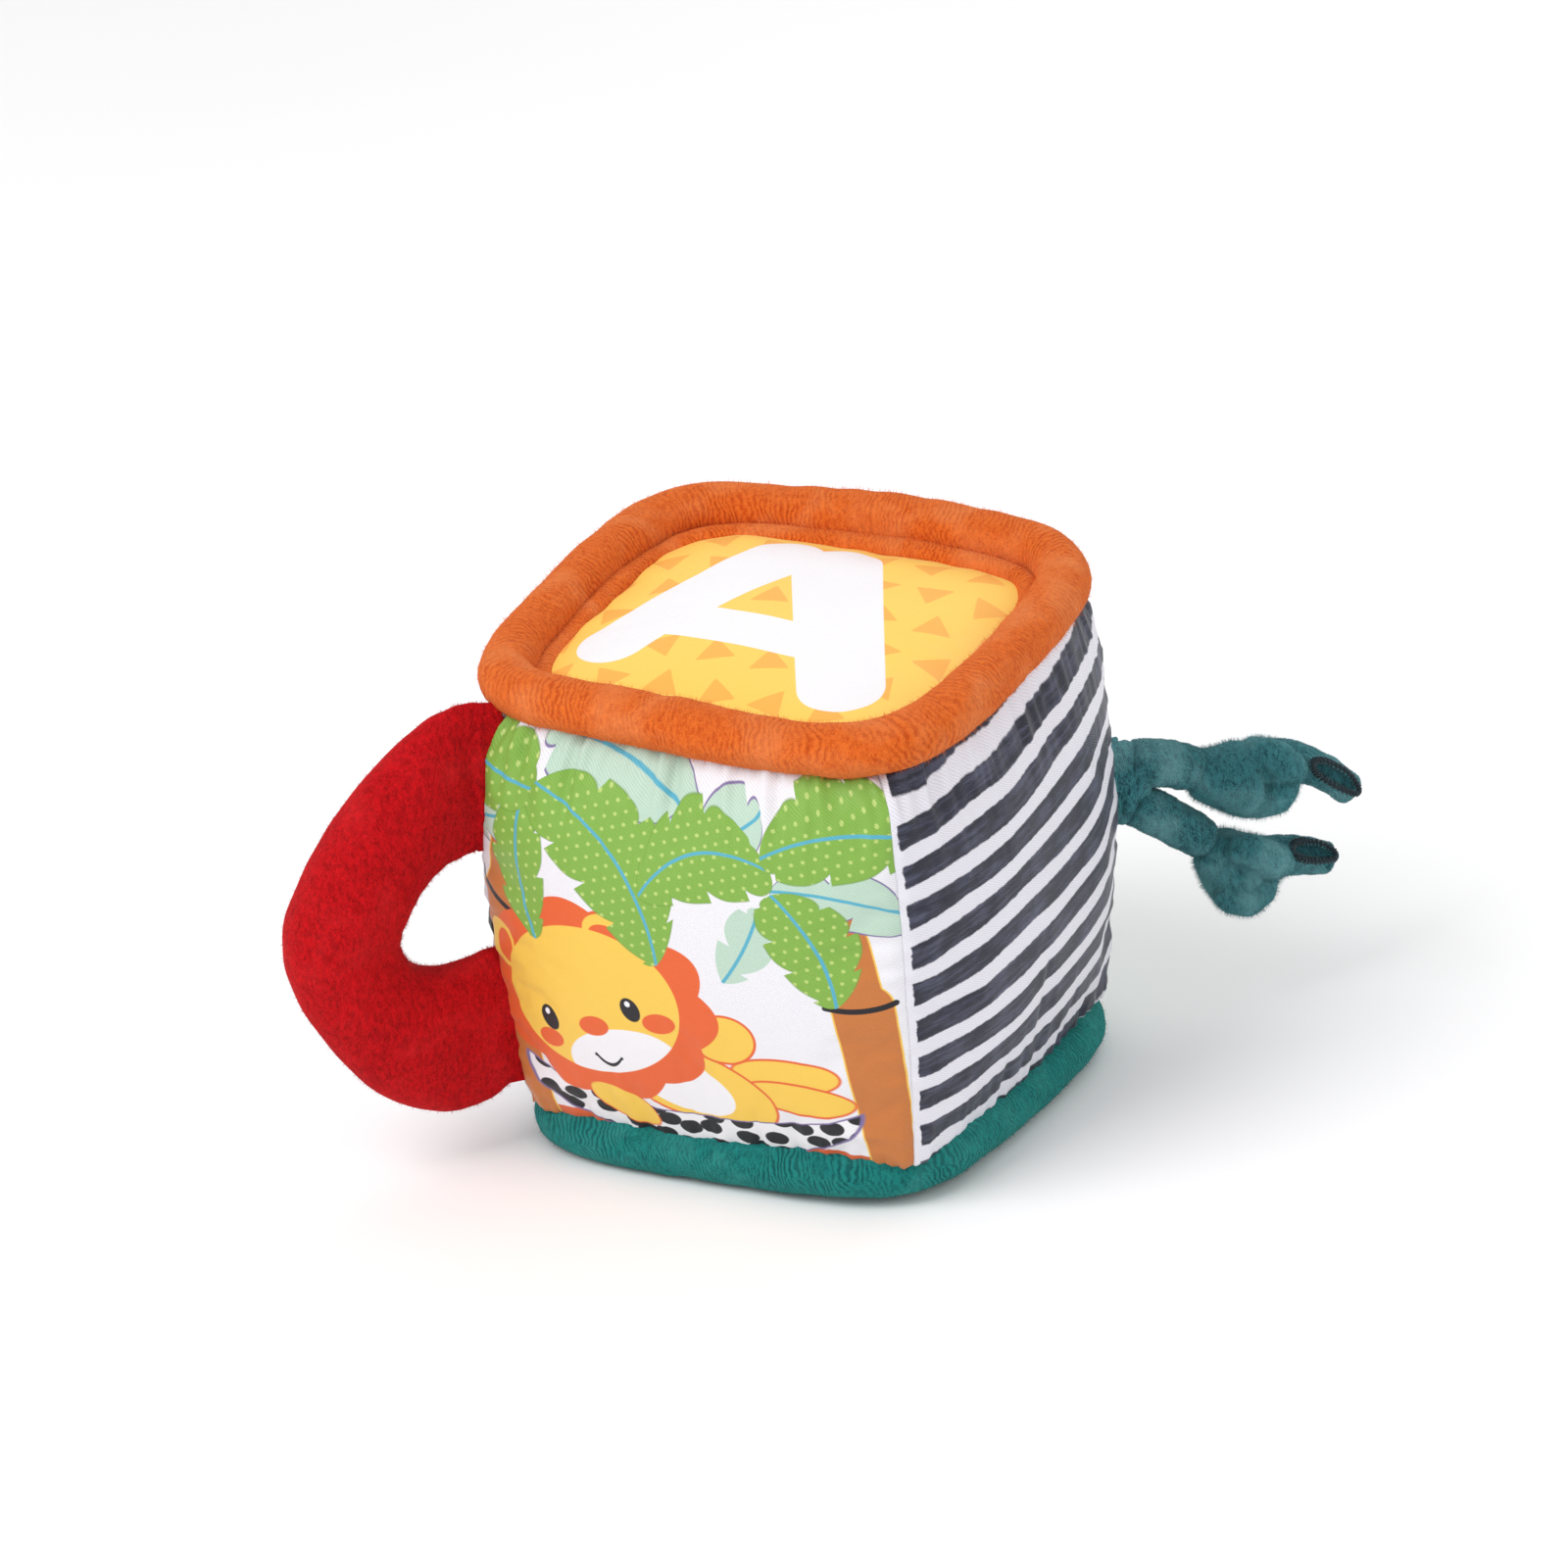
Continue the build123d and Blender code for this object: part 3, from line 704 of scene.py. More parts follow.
def buildYellowMaterial(name, withLetter):
    # yellow satin with rows of small triangles, and a plain rounded alphabet letter on the top
    material, tree, cloth = newSatin(name)
    step = 14.0     # from one triangle to the next
    split = splitUp(tree, cloth)
    row = calc(tree, "FLOOR", calc(tree, "DIVIDE", split[1], step))
    shift = calc(tree, "MULTIPLY", calc(tree, "PINGPONG", row, 1.0), step / 2)
    cellX = calc(tree, "DIVIDE", calc(tree, "ADD", split[0], shift), step)
    cellY = calc(tree, "DIVIDE", split[1], step)
    key = joinUp(tree, calc(tree, "FLOOR", cellX), row)
    dice = addNode(tree, "TexWhiteNoise", {"Vector": key}, noise_dimensions="2D")
    local = joinUp(tree, *[calc(tree, "MULTIPLY_ADD", calc(tree, "FRACT", cell), step, -step / 2) for cell in (cellX, cellY)])
    spin = calc(tree, "MULTIPLY", dice.outputs["Value"], 7.0)
    turned = addNode(tree, "VectorRotate", {"Vector": local, "Angle": spin}, rotation_type="Z_AXIS").outputs[0]
    sides = splitUp(tree, turned)
    edges = []
    for angle in (90, 210, 330):
        a = math.radians(angle)
        out = calc(tree, "MULTIPLY", sides[0], math.cos(a)), calc(tree, "MULTIPLY", sides[1], math.sin(a))
        edges.append(calc(tree, "ADD", *out))
    inside = calc(tree, "SMOOTH_MAX", calc(tree, "SMOOTH_MAX", edges[0], edges[1], 1.0), edges[2], 1.0)
    mask = edgeMask(tree, calc(tree, "SUBTRACT", inside, 2.75))
    colour = mixColour(tree, mask, rgb(253, 208, 92), rgb(247, 180, 74))
    if withLetter:
        for start, end, low, high in letterStrokes:
            colour = paintLine(tree, cloth, colour, rgb(243, 242, 245), start, end, low, high)
    return finishSatin(material, cloth, colour)


pictureSatin = buildPictureMaterial()
stripeSatin = buildStripeMaterial()
spotSatin = buildSpotMaterial()
leafSatin = buildLeafMaterial()
topSatin = buildYellowMaterial("yellow letter satin", True)
baseSatin = buildYellowMaterial("yellow satin", False)
print("materials built")

# shared sizes, in metres, of the block's own frame
block = {
    "topHalf": (0.0569, 0.0517),     # half widths of the top rim's centre line
    "topHeight": 0.1197,
    "topTiltX": -0.0348,             # the top rim stands a little higher at the left and at the back
    "topTiltY": 0.1048,
    "topRadius": 0.0063,
    "topPower": 4.6,
    "bottomHalf": (0.0522, 0.0522),
    "bottomRadius": 0.0065,
    "bottomPower": 4.9,
}
# wobbles of the top rim round its ring, from the right side (+X) through the back, left and front
rimRise = (0.0, 0.0004, 0.0012, 0.0014, -0.0002, 0.0, 0.001, -0.0008, 0.0008, 0.0004, -0.0004, 0.0006)
rimSwell = (0.0, 0.0002, -0.0002, 0.0003, -0.0001, 0.0003, -0.0003, 0.0002, 0.0, 0.0003, -0.0002, 0.0002)


def topHeightAt(x, y, turn=None):
    height = block["topHeight"] + block["topTiltX"] * x + block["topTiltY"] * y
    return height + (glide(rimRise, turn, ring=True) if turn is not None else 0)


def topRimCentre(angle, inset=0.0):
    halfX, halfY = block["topHalf"]
    point = softSquare(angle, halfX - inset, halfY - inset, block["topPower"])
    point.z = topHeightAt(point.x, point.y, (angle / math.tau) % 1)
    return point


def bottomRimCentre(angle, inset=0.0):
    halfX, halfY = block["bottomHalf"]
    point = softSquare(angle, halfX - inset, halfY - inset, block["bottomPower"])
    point.z = block["bottomRadius"] + 0.0016 * math.exp(-((angle - 5.5) / 0.5) ** 2)
    return point


def ringTube(name, centreAt, radiusAt, rounds, sides, wrinkle, seed, flat=None):
    # a plush tube along a closed path, with small wrinkles across it
    def pointAt(u, v):
        angle = u * math.tau
        centre = centreAt(angle)
        ahead, behind = centreAt(angle + 0.01), centreAt(angle - 0.01)
        way = (ahead - behind).normalized()
        side = way.cross(Vector((0, 0, 1))).normalized()
        up = side.cross(way)
        around = v * math.tau
        out = side * math.cos(around) + up * math.sin(around)
        place = centre + out * radiusAt(angle)
        crease = noise.noise(Vector((angle * 9.0 + seed, around * 0.8, 0.0))) * 0.6 + noise.noise(place * 90) * 0.7
        place = place + out * crease * wrinkle * mm
        if flat is not None and place.z < flat:
            place.z = flat + (place.z - flat) * 0.08
        return place

    return gridPiece(name, rounds, sides, pointAt, ringColumns=True, ringRows=True, clothSize=(400, 40))


def addFuzz(piece, count, length, seed):
    # loose fibres that stand out of the pile: one thin triangle each, with the piece's own paint
    dice = random.Random(seed)
    mesh = piece.data
    points, faces = [], []
    for _ in range(count):
        polygon = mesh.polygons[dice.randrange(len(mesh.polygons))]
        corners = [mesh.vertices[k].co for k in polygon.vertices]
        root = corners[0].lerp(corners[1], dice.random()).lerp(corners[2], dice.random() * 0.8)
        if root.z < 0.002 and piece.name.startswith("bottom"):
            continue
        stray = Vector((dice.uniform(-1, 1), dice.uniform(-1, 1), dice.uniform(-1, 1)))
        way = (polygon.normal + stray * 0.75).normalized()
        side = way.cross(stray).normalized() * 0.00005
        long = length * dice.uniform(0.5, 1.25) * mm
        start = len(points)
        points += [root - polygon.normal * 0.0002 - side, root - polygon.normal * 0.0002 + side, root + way * long]
        faces.append((start, start + 1, start + 2))
    return makePiece(piece.name.replace("plush", "fuzz"), points, faces)


def paintWith(piece, material):
    piece.data.materials.clear()
    piece.data.materials.append(material)
    return piece


def dress(piece, material, slot=None, body=None, standsFor=None):
    # paint, the body that it rides on, its slot, which is not used, and the node that it stands for
    paintWith(piece, material)
    if body:
        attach(piece, body)
    if standsFor:
        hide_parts(standsFor)
    return piece


def fringe(piece, count, length, seed, slot, body=None):
    fuzz = addFuzz(piece, count, length, seed)
    return dress(fuzz, piece.data.materials[0], slot, body)


# rims
def topRadiusAt(angle):
    return block["topRadius"] + glide(rimSwell, (angle / math.tau) % 1, ring=True)


topRim = ringTube("top_rim_plush", topRimCentre, topRadiusAt, 360, 26, 0.55, 3.0)
dress(topRim, orangePlush, "orange_plush", "cube", "top_rim_cover")
fringe(topRim, 16000, 1.2, 1, "orange_plush", "cube")
topCord = ringTube("top_rim_stuffing", topRimCentre, lambda a: 0.0046, 180, 14, 0.2, 8.0)
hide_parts("top_rim_cord")


def rollCentre(angle):
    point = topRimCentre(angle, 0.0066)
    point.z -= 0.0036 + 0.0006 * noise.noise(Vector((angle * 2.2, 4.0, 0.0)))
    return point


def rollRadiusAt(angle):
    return 0.0031 + 0.0004 * noise.noise(Vector((math.cos(angle) * 3, math.sin(angle) * 3, 1.0)))


topRoll = ringTube("top_rim_turned_edge", rollCentre, rollRadiusAt, 300, 18, 0.4, 21.0)
dress(topRoll, orangePlush, "orange_plush", "cube", standsFor="top_rim_inner_roll")


def bottomRadiusAt(angle):
    return block["bottomRadius"] + 0.0001 * math.sin(angle * 5)


bottomRim = ringTube("bottom_rim_plush", bottomRimCentre, bottomRadiusAt, 340, 26, 0.5, 11.0, flat=0.0007)
for vertex in bottomRim.data.vertices:
    vertex.co.z = max(vertex.co.z, 0.0003)
dress(bottomRim, tealPlush, "teal_plush", "cube", "bottom_rim_cover")
fringe(bottomRim, 13000, 1.0, 2, "teal_plush", "cube")
bottomCord = ringTube("bottom_rim_stuffing", bottomRimCentre, lambda a: 0.0048, 180, 14, 0.2, 5.0)
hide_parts("bottom_rim_cord")

# sleeve: four printed panels sewn at the corners
sleeve = {
    "lowHeight": 0.0112,
    "cornerLow": 0.0512,       # how far out the corner seams stand, on each axis, at the bottom
    "cornerHigh": 0.0530,
    "cornerBow": 0.0030,       # more at half height
    "bulgeLow": 0.0035,        # how far a panel's middle stands out past its seams
    "bulgeMiddle": 0.0068,
    "bulgeHigh": 0.0048,
    "columns": 44,
    "rows": 42,
}
clothThick = {"panel": 0.0007, "cushion": 0.0008}     # in metres
sleevePuff = {"frames": 14, "pressure": 3.0, "spare": 0.012, "stretch": 14.0, "bending": 0.35, "quality": 5, "cap": 4.0}
panelWidth, panelHeight = 106.0, 101.0


def sleeveTop(x, y):
    return topHeightAt(x, y) - 0.0058


def sleevePoint(turn, v):
    # turn runs from 0 to 4 round the block, from the front left seam; v from the bottom seam to the top one
    panel, u = int(turn) % 4, turn - int(turn)
    s = u * 2 - 1
    corner = sleeve["cornerLow"] + (sleeve["cornerHigh"] - sleeve["cornerLow"]) * v
    corner += sleeve["cornerBow"] * math.sin(math.pi * v) ** 0.8
    bulge = glide((sleeve["bulgeLow"], sleeve["bulgeMiddle"], sleeve["bulgeMiddle"] * 1.05, sleeve["bulgeHigh"]), v)
    out = corner + bulge * (1 - abs(s) ** 3.2)
    along = s * corner
    x, y = ((along, -out), (out, along), (-along, out), (-out, -along))[panel]
    low = sleeve["lowHeight"]
    place = Vector((x, y, low + (sleeveTop(x, y) - low) * v))
    # the top edge is drawn in under the rim
    under = topRimCentre(math.atan2(y, x), -0.0012)
    under.z -= 0.0048
    return place.lerp(under, smoothStep(0.88, 1.0, v) ** 1.6)


def gatherAt(turn, v):
    # fine gathers where the rim's stitching draws in the panel's top edge
    lines = noise.noise(Vector((turn * 31, v * 2.2, 12.0))) + 0.5 * noise.noise(Vector((turn * 66, v * 4, 15.0)))
    return lines * (math.exp(-(1 - v) * 8.5) * 1.9 + math.exp(-v * 15) * 1.1)


def seamPucker(turn, v):
    # small gathers along the seams, where the stitching draws the cloth in
    u = turn - int(turn)
    near = min(u, 1 - u)
    wave = noise.noise(Vector((turn * 3.0, v * 26, 1.7))) * math.exp(-near * 16)
    low = noise.noise(Vector((turn * 24, v * 5, 9.0))) * math.exp(-min(v, 1 - v) * 13)
    wide = noise.noise(Vector((turn * 3.1, v * 3.4, 4.4))) * 0.8
    return (wave * 0.8 + low * 0.5 + wide + gatherAt(turn, v)) * mm


columns, rows = sleeve["columns"], sleeve["rows"]
shell = gridPiece("sleeve", columns * 4, rows, lambda u, v: sleevePoint(u * 4 % 4, v), ringColumns=True)
ringCount = columns * 4
pinned = [k for k in range(ringCount * (rows + 1)) if k % columns == 0 or k < ringCount or k >= ringCount * rows]
puffCloth(shell, pinned, sleevePuff)
shellPoints = [v.co.copy() for v in shell.data.vertices]
bpy.data.objects.remove(shell)


def shellPoint(turn, v):
    # a point on the puffed sleeve, smooth between its own points
    across, along = (turn % 4) * columns, min(max(v, 0), 1) * rows
    i, j = int(across), min(int(along), rows - 1)
    f, g = across - i, along - j
    ring = columns * 4
    a, b = shellPoints[j * ring + i % ring], shellPoints[j * ring + (i + 1) % ring]
    c, d = shellPoints[(j + 1) * ring + i % ring], shellPoints[(j + 1) * ring + (i + 1) % ring]
    return (a * (1 - f) + b * f) * (1 - g) + (c * (1 - f) + d * f) * g


def outward(turn, v):
    e = 0.004
    across = shellPoint(turn + e, v) - shellPoint(turn - e, v)
    along = shellPoint(turn, min(v + e, 1)) - shellPoint(turn, max(v - e, 0))
    return across.cross(along).normalized()


panels = {
    "front_panel": (pictureSatin, "printed_satin"), "right_panel": (stripeSatin, "striped_satin"),
    "back_panel": (leafSatin, "printed_satin"), "left_panel": (spotSatin, "spotted_satin"),
}
seamTurn = 0.0009     # how far a seam draws the cloth inwards, in metres
for number, (name, (satinUsed, slot)) in enumerate(panels.items()):
    def panelPoint(u, v, number=number):
        turn = number + min(max(u, 0.0004), 0.9996)
        point = shellPoint(turn, v)
        fall = math.exp(-((min(u, 1 - u) * panelWidth / 1.5) ** 2))
        way = outward(turn, v)
        return point + way * (seamPucker(turn, v) - seamTurn * 1.3 * fall)

    def panelCloth(u, v):
        return u * panelWidth, v * (panelHeight + 3.5) - 3.5

    panel = gridPiece(name + "_cloth", columns * 3, rows * 3, panelPoint, clothAt=panelCloth)
    addModifier(panel, "SOLIDIFY", thickness=clothThick["panel"], offset=-1)
    dress(panel, satinUsed, slot, "cube", name)
print("sleeve built")

# top cushion: a padded panel with gathers where the rim holds it
cushion = {"inset": 0.0062, "drop": 0.0048, "rise": 0.0074, "cells": 150, "corner": 0.52}
bottomPad = {"half": 0.0478, "height": 0.0035, "sag": 0.0026, "cells": 90, "corner": 0.42}


def roundedSquare(a, b, corner):
    # from a plain square (-1 to 1 each way) to one with rounded corners
    return a * math.sqrt(1 - corner * b * b / 2), b * math.sqrt(1 - corner * a * a / 2)


def cushionPoint(u, v):
    a, b = roundedSquare(u * 2 - 1, v * 2 - 1, cushion["corner"])
    halfX, halfY = block["topHalf"][0] - cushion["inset"], block["topHalf"][1] - cushion["inset"]
    x, y = a * halfX, b * halfY
    edge = min(max(abs(a) ** 5 + abs(b) ** 5, 0), 1) ** 0.2
    swell = (max(1 - edge**2.6, 0)) ** 0.62
    turn = math.atan2(b, a)
    gathers = noise.noise(Vector((math.cos(turn) * 6, math.sin(turn) * 6, edge * 1.5))) * math.exp(-(1 - edge) * 7) * 1.5
    slack = noise.noise(Vector((x * 26, y * 26, 2.0))) * 1.1 + noise.noise(Vector((x * 70, y * 70, 7.0))) * 0.35
    return Vector((x, y, topHeightAt(x, y) - cushion["drop"] + swell * cushion["rise"] + (gathers + slack * swell) * mm))


def planCloth(pointAt):
    def clothAt(u, v):
        point = pointAt(u, v)
        return point.x / mm, point.y / mm
    return clothAt


top = gridPiece("top_cushion_cloth", cushion["cells"], cushion["cells"], cushionPoint, clothAt=planCloth(cushionPoint))
addModifier(top, "SOLIDIFY", thickness=clothThick["cushion"], offset=-1)
dress(top, topSatin, "yellow_satin", "cube", "top_panel")


def bottomPoint(u, v):
    a, b = roundedSquare(1 - u * 2, v * 2 - 1, bottomPad["corner"])
    edge = min(max(abs(a) ** 5 + abs(b) ** 5, 0), 1) ** 0.2
    swell = max(1 - edge**3, 0) ** 0.6
    x, y = a * bottomPad["half"], b * bottomPad["half"]
    slack = noise.noise(Vector((x * 30, y * 30, 5.0))) * 0.5
    slack += noise.noise(Vector((x * 90, y * 90, 8.0))) * 0.3 * math.exp(-(1 - edge) * 6)
    return Vector((x, y, bottomPad["height"] - swell * bottomPad["sag"] + slack * mm * 0.9))


base = gridPiece("base_cloth", bottomPad["cells"], bottomPad["cells"], bottomPoint, clothAt=planCloth(bottomPoint))
addModifier(base, "SOLIDIFY", thickness=clothThick["cushion"], offset=-1)
dress(base, baseSatin, "yellow_satin", "cube", "bottom_panel")
print("top and base built")

# handle: two stuffed plush halves sewn round their outline
out45 = Vector((-1, -1, 0)).normalized()
handle = {
    "hinge": 0.078872,
    # outer edge, inner edge (out from the hinge line, height) and half the thickness, in mm, from the top down
    "stations": (
        ((-9.5, 113.2), (-9.0, 79.5), 1.6),
        ((-3.6, 114.6), (-3.0, 78.5), 2.6),
        ((2.5, 114.2), (1.5, 77.8), 4.2),
        ((12.0, 110.0), (7.5, 76.0), 7.6),
        ((25.4, 98.8), (12.8, 72.6), 10.2),
        ((37.0, 85.0), (17.0, 67.2), 11.6),
        ((46.6, 68.0), (20.0, 60.8), 11.8),
        ((46.6, 52.5), (19.9, 56.4), 11.6),
        ((40.0, 36.7), (17.2, 52.3), 11.2),
        ((28.9, 21.8), (12.5, 50.4), 10.2),
        ((14.5, 14.2), (6.5, 50.9), 7.8),
        ((3.5, 14.6), (1.0, 52.6), 4.4),
        ((-3.2, 18.2), (-3.0, 53.2), 2.6),
        ((-9.5, 21.5), (-9.0, 53.6), 1.6),
    ),
    "rows": 190,
    "sides": 30,
}


def handleSection(share):
    outer = glide([Vector((*s[0], 0)) for s in handle["stations"]], share)
    inner = glide([Vector((*s[1], 0)) for s in handle["stations"]], share)
    return outer, inner, glide([s[2] for s in handle["stations"]], share)


def handlePoint(share, around, side, shrink=0.0):
    # around goes from the outer edge (0) over one face to the inner edge (1)
    outer, inner, thick = handleSection(share)
    middle, half = (outer + inner) / 2, (outer - inner) / 2
    length = half.length
    angle = around * math.pi
    c, s = math.cos(angle), math.sin(angle)
    reach = c * (abs(c) ** 0.08) * (1 - shrink / length)
    depth = max(s, 0) ** 0.86 * max(thick - shrink, 0.4)
    place = middle + half.normalized() * (length * reach)
    if shrink == 0:
        # creases run across the handle where it bends and gather at the seams
        seam = min(around, 1 - around)
        gather = noise.noise(Vector((share * 46, seam * 3, side * 3.0))) * math.exp(-seam * 8) * 1.3
        roots = math.exp(-min(share, 1 - share) * 9)
        fold = noise.noise(Vector((share * 17, around * 1.6, side * 7.0 + 2))) * (0.8 + 1.7 * roots)
        lump = noise.noise(Vector((place.x * 0.07, place.y * 0.07, side * 5.0))) * 1.3
        depth += (gather + fold + lump) * s
        reach = noise.noise(Vector((share * 24, 3.0, 0.0))) * 0.45
        place = place + half.normalized() * (c * reach)
    flat = out45.cross(Vector((0, 0, 1)))
    return out45 * (handle["hinge"] + place.x * mm) + Vector((0, 0, place.y * mm)) + flat * (depth * side * mm)


def handleHalf(name, side, replaced):
    def pointAt(u, v):
        return handlePoint(v, u if side > 0 else 1 - u, side)
    half = gridPiece(name, handle["sides"], handle["rows"], pointAt, clothSize=(60, 190))
    return dress(half, redPlush, "red_plush", standsFor=replaced)


handleStart, handleEnd = out45 * 0.0755 + Vector((0, 0, 0.062)), out45 * 0.0865 + Vector((0, 0, 0.062))
flatWay = out45.cross(Vector((0, 0, 1)))
frontSide = 1 if flatWay.y < 0 else -1
handleFront = handleHalf("handle_front_plush", frontSide, "handle_front_cover")
handleBack = handleHalf("handle_back_plush", -frontSide, "handle_back_cover")


def handleStuffingPoint(u, v):
    turn = u * 2
    side = 1 if turn <= 1 else -1
    return handlePoint(0.03 + v * 0.94, turn if turn <= 1 else 2 - turn, side, shrink=1.4)


handleStuffing = gridPiece("handle_stuffing", 36, 90, handleStuffingPoint, ringColumns=True)
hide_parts("handle_filling")

handleFuzz = [fringe(half, 9000, 1.0, seed, "red_plush") for seed, half in ((3, handleFront), (4, handleBack))]
for piece in (handleFront, handleBack, handleStuffing, *handleFuzz):
    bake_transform(piece)
    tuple(handleStart)
    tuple(handleEnd)
print("handle built")

# legs
legOut = Vector((1, 1, 0)).normalized()
legFlat = legOut.cross(Vector((0, 0, 1)))
legHinge = 0.079580


def legPlace(reach, height, off=0.0):
    # reach in mm out from the hinge line, height in mm, off to one side in mm
    return legOut * (legHinge + reach * mm) + Vector((0, 0, height * mm)) + legFlat * (off * mm)


def tubePiece(name, path, halfWides, halfTalls, rows, sides, wrinkle, seed):
    # an oval tube through points given as (reach, height, off), drawn to a round at both ends
    # wide is across the leg's plane, tall within it
    path = [Vector(p) for p in path]

    def pointAt(u, v):
        end = smoothStep(0.0, 0.05, v) * math.sqrt(max(1 - max((v - 0.82) / 0.18, 0) ** 2, 0))
        centre = glide(path, v)
        way = (glide(path, min(v + 0.01, 1)) - glide(path, max(v - 0.01, 0))).normalized()
        off = Vector((0, 0, 1))
        tall = off.cross(way).normalized()
        off = way.cross(tall)
        around = u * math.tau
        wide, high = glide(halfWides, v), glide(halfTalls, v)
        c, s = math.cos(around), math.sin(around)
        crease = noise.noise(Vector((v * 9 + seed, c * 1.3, s * 1.3))) * wrinkle
        place = centre + off * (c * (wide + crease) * end) + tall * (s * (high + crease) * end)
        return legPlace(place.x, place.y, place.z)

    return gridPiece(name, sides, rows, pointAt, ringColumns=True, clothSize=(40, 60))


legs = {
    "upper": {
        "strap": ((2.0, 68.8, 0), (7.0, 67.5, 0), (12.0, 66.0, 0), (16.5, 64.3, 0), (21.0, 62.2, 0)),
        "strapWide": (5.4, 5.8, 5.8, 5.4, 4.8),
        "band": (26.0, 60.0), "bandLean": -18.0, "bandLong": 9.4, "bandRadius": 9.3,
        "loops": (((33.6, 64.6, -2.0), (35.6, 65.6, 3.2), (39.2, 62.8, 5.4), (41.8, 59.6, 3.4), (41.6, 57.6, -1.5)),
                  ((31.6, 52.4, -1.0), (34.4, 52.6, 3.6), (38.2, 55.0, 4.6), (41.0, 57.6, 1.6), (40.2, 59.5, -3.0)),
                  ((32.0, 60.0, 0.0), (35.0, 59.6, 0.6), (38.0, 59.0, 0.4))),
        "loopRadius": 4.1,
        "tail": ((34.0, 62.6, -0.6), (41.4, 61.8, 0), (48.0, 58.4, 0.3), (53.8, 54.0, 0.6), (58.4, 49.5, 0.8)),
        "tailTall": (4.4, 4.7, 4.4, 4.1, 3.6), "tailLong": 27.5, "openTurn": 0.34, "seed": 1.0,
    },
    "lower": {
        "strap": ((2.0, 57.6, 0), (7.0, 54.8, 0), (12.0, 51.0, 0), (17.5, 46.6, 0), (22.0, 43.0, 0)),
        "strapWide": (5.2, 5.4, 5.4, 5.2, 4.4),
        "band": (25.8, 37.6), "bandLean": -50.0, "bandLong": 8.4, "bandRadius": 9.3,
        "loops": (((25.0, 43.0, 4.6), (29.5, 42.6, 7.2), (33.8, 39.6, 7.0), (37.4, 36.6, 3.6), (37.6, 34.0, -1.0)),
                  ((21.5, 33.0, 4.6), (24.5, 30.2, 6.4), (29.0, 29.8, 5.8), (33.6, 31.6, 2.8), (34.6, 34.4, -2.0)),
                  ((27.0, 36.0, 0.0), (30.0, 35.4, 0.6), (33.0, 35.0, 0.4))),
        "loopRadius": 4.2,
        "tail": ((29.5, 38.0, 0.8), (35.5, 37.6, 1.6), (41.2, 36.8, 1.5), (46.8, 35.4, 1.3), (51.8, 33.4, 1.0)),
        "tailTall": (5.0, 5.2, 4.9, 4.4, 3.5), "tailLong": 23.0, "openTurn": 0.62, "seed": 5.0,
    },
}


def mergePieces(name, pieces):
    points, faces = [], []
    for piece in pieces:
        start = len(points)
        points += [v.co.copy() for v in piece.data.vertices]
        faces += [tuple(start + k for k in polygon.vertices) for polygon in piece.data.polygons]
        bpy.data.objects.remove(piece)
    return makePiece(name, points, faces)


def buildKnot(name, setup):
    # an overhand knot pulled tight: one broad turn of cloth and the ends that cross over it
    middle, lean, long, wide = setup["band"], math.radians(setup["bandLean"]), setup["bandLong"], setup["bandRadius"]
    profile = (0.60, 0.68, 0.76, 0.86, 0.95, 1.0, 1.0, 0.86)

    def bandPoint(u, v):
        around = u * math.tau
        reach = -long + 2 * long * v
        radius = wide * glide(profile, v) * math.sqrt(max(1 - (2 * v - 1) ** 8, 0))
        x = reach - 1.6 * math.cos(around) * smoothStep(0.4, 1.0, v)
        y, z = radius * math.cos(around), radius * 0.9 * math.sin(around)
        reach, height = x * math.cos(lean) - y * math.sin(lean), x * math.sin(lean) + y * math.cos(lean)
        return legPlace(middle[0] + reach, middle[1] + height, z)

    parts = [gridPiece("band", 36, 36, bandPoint, ringColumns=True)]
    for n, path in enumerate(setup["loops"]):
        r = (setup["loopRadius"], setup["loopRadius"] * 0.9, 5.6)[n]
        parts.append(tubePiece("loop", path, (r * 0.8, r, r * 0.8), (r * 0.8, r * 1.1, r * 0.8), 60, 20, 0.3, n + 2.0))
    knot = mergePieces(name, parts)
    addModifier(knot, "REMESH", mode="VOXEL", voxel_size=0.00055)
    addModifier(knot, "SMOOTH", factor=0.4, iterations=2)
    applyModifiers(knot)
    seed = setup["seed"]
    for vertex in knot.data.vertices:
        point = vertex.co.copy()
        crease = noise.noise(point * 210 + Vector((seed, 0, 0))) * 0.35
        ridge = math.sin(point.dot(Vector((600, 600, 900))) + 4 * noise.noise(point * 90)) * 0.10
        vertex.co = point + vertex.normal * ((crease + ridge) * mm)
    knot.data.polygons.foreach_set("use_smooth", [True] * len(knot.data.polygons))
    return knot


thread = {"stitch": 0.00025, "cord": 0.00046, "stitches": 36, "steps": 90}     # radii in metres


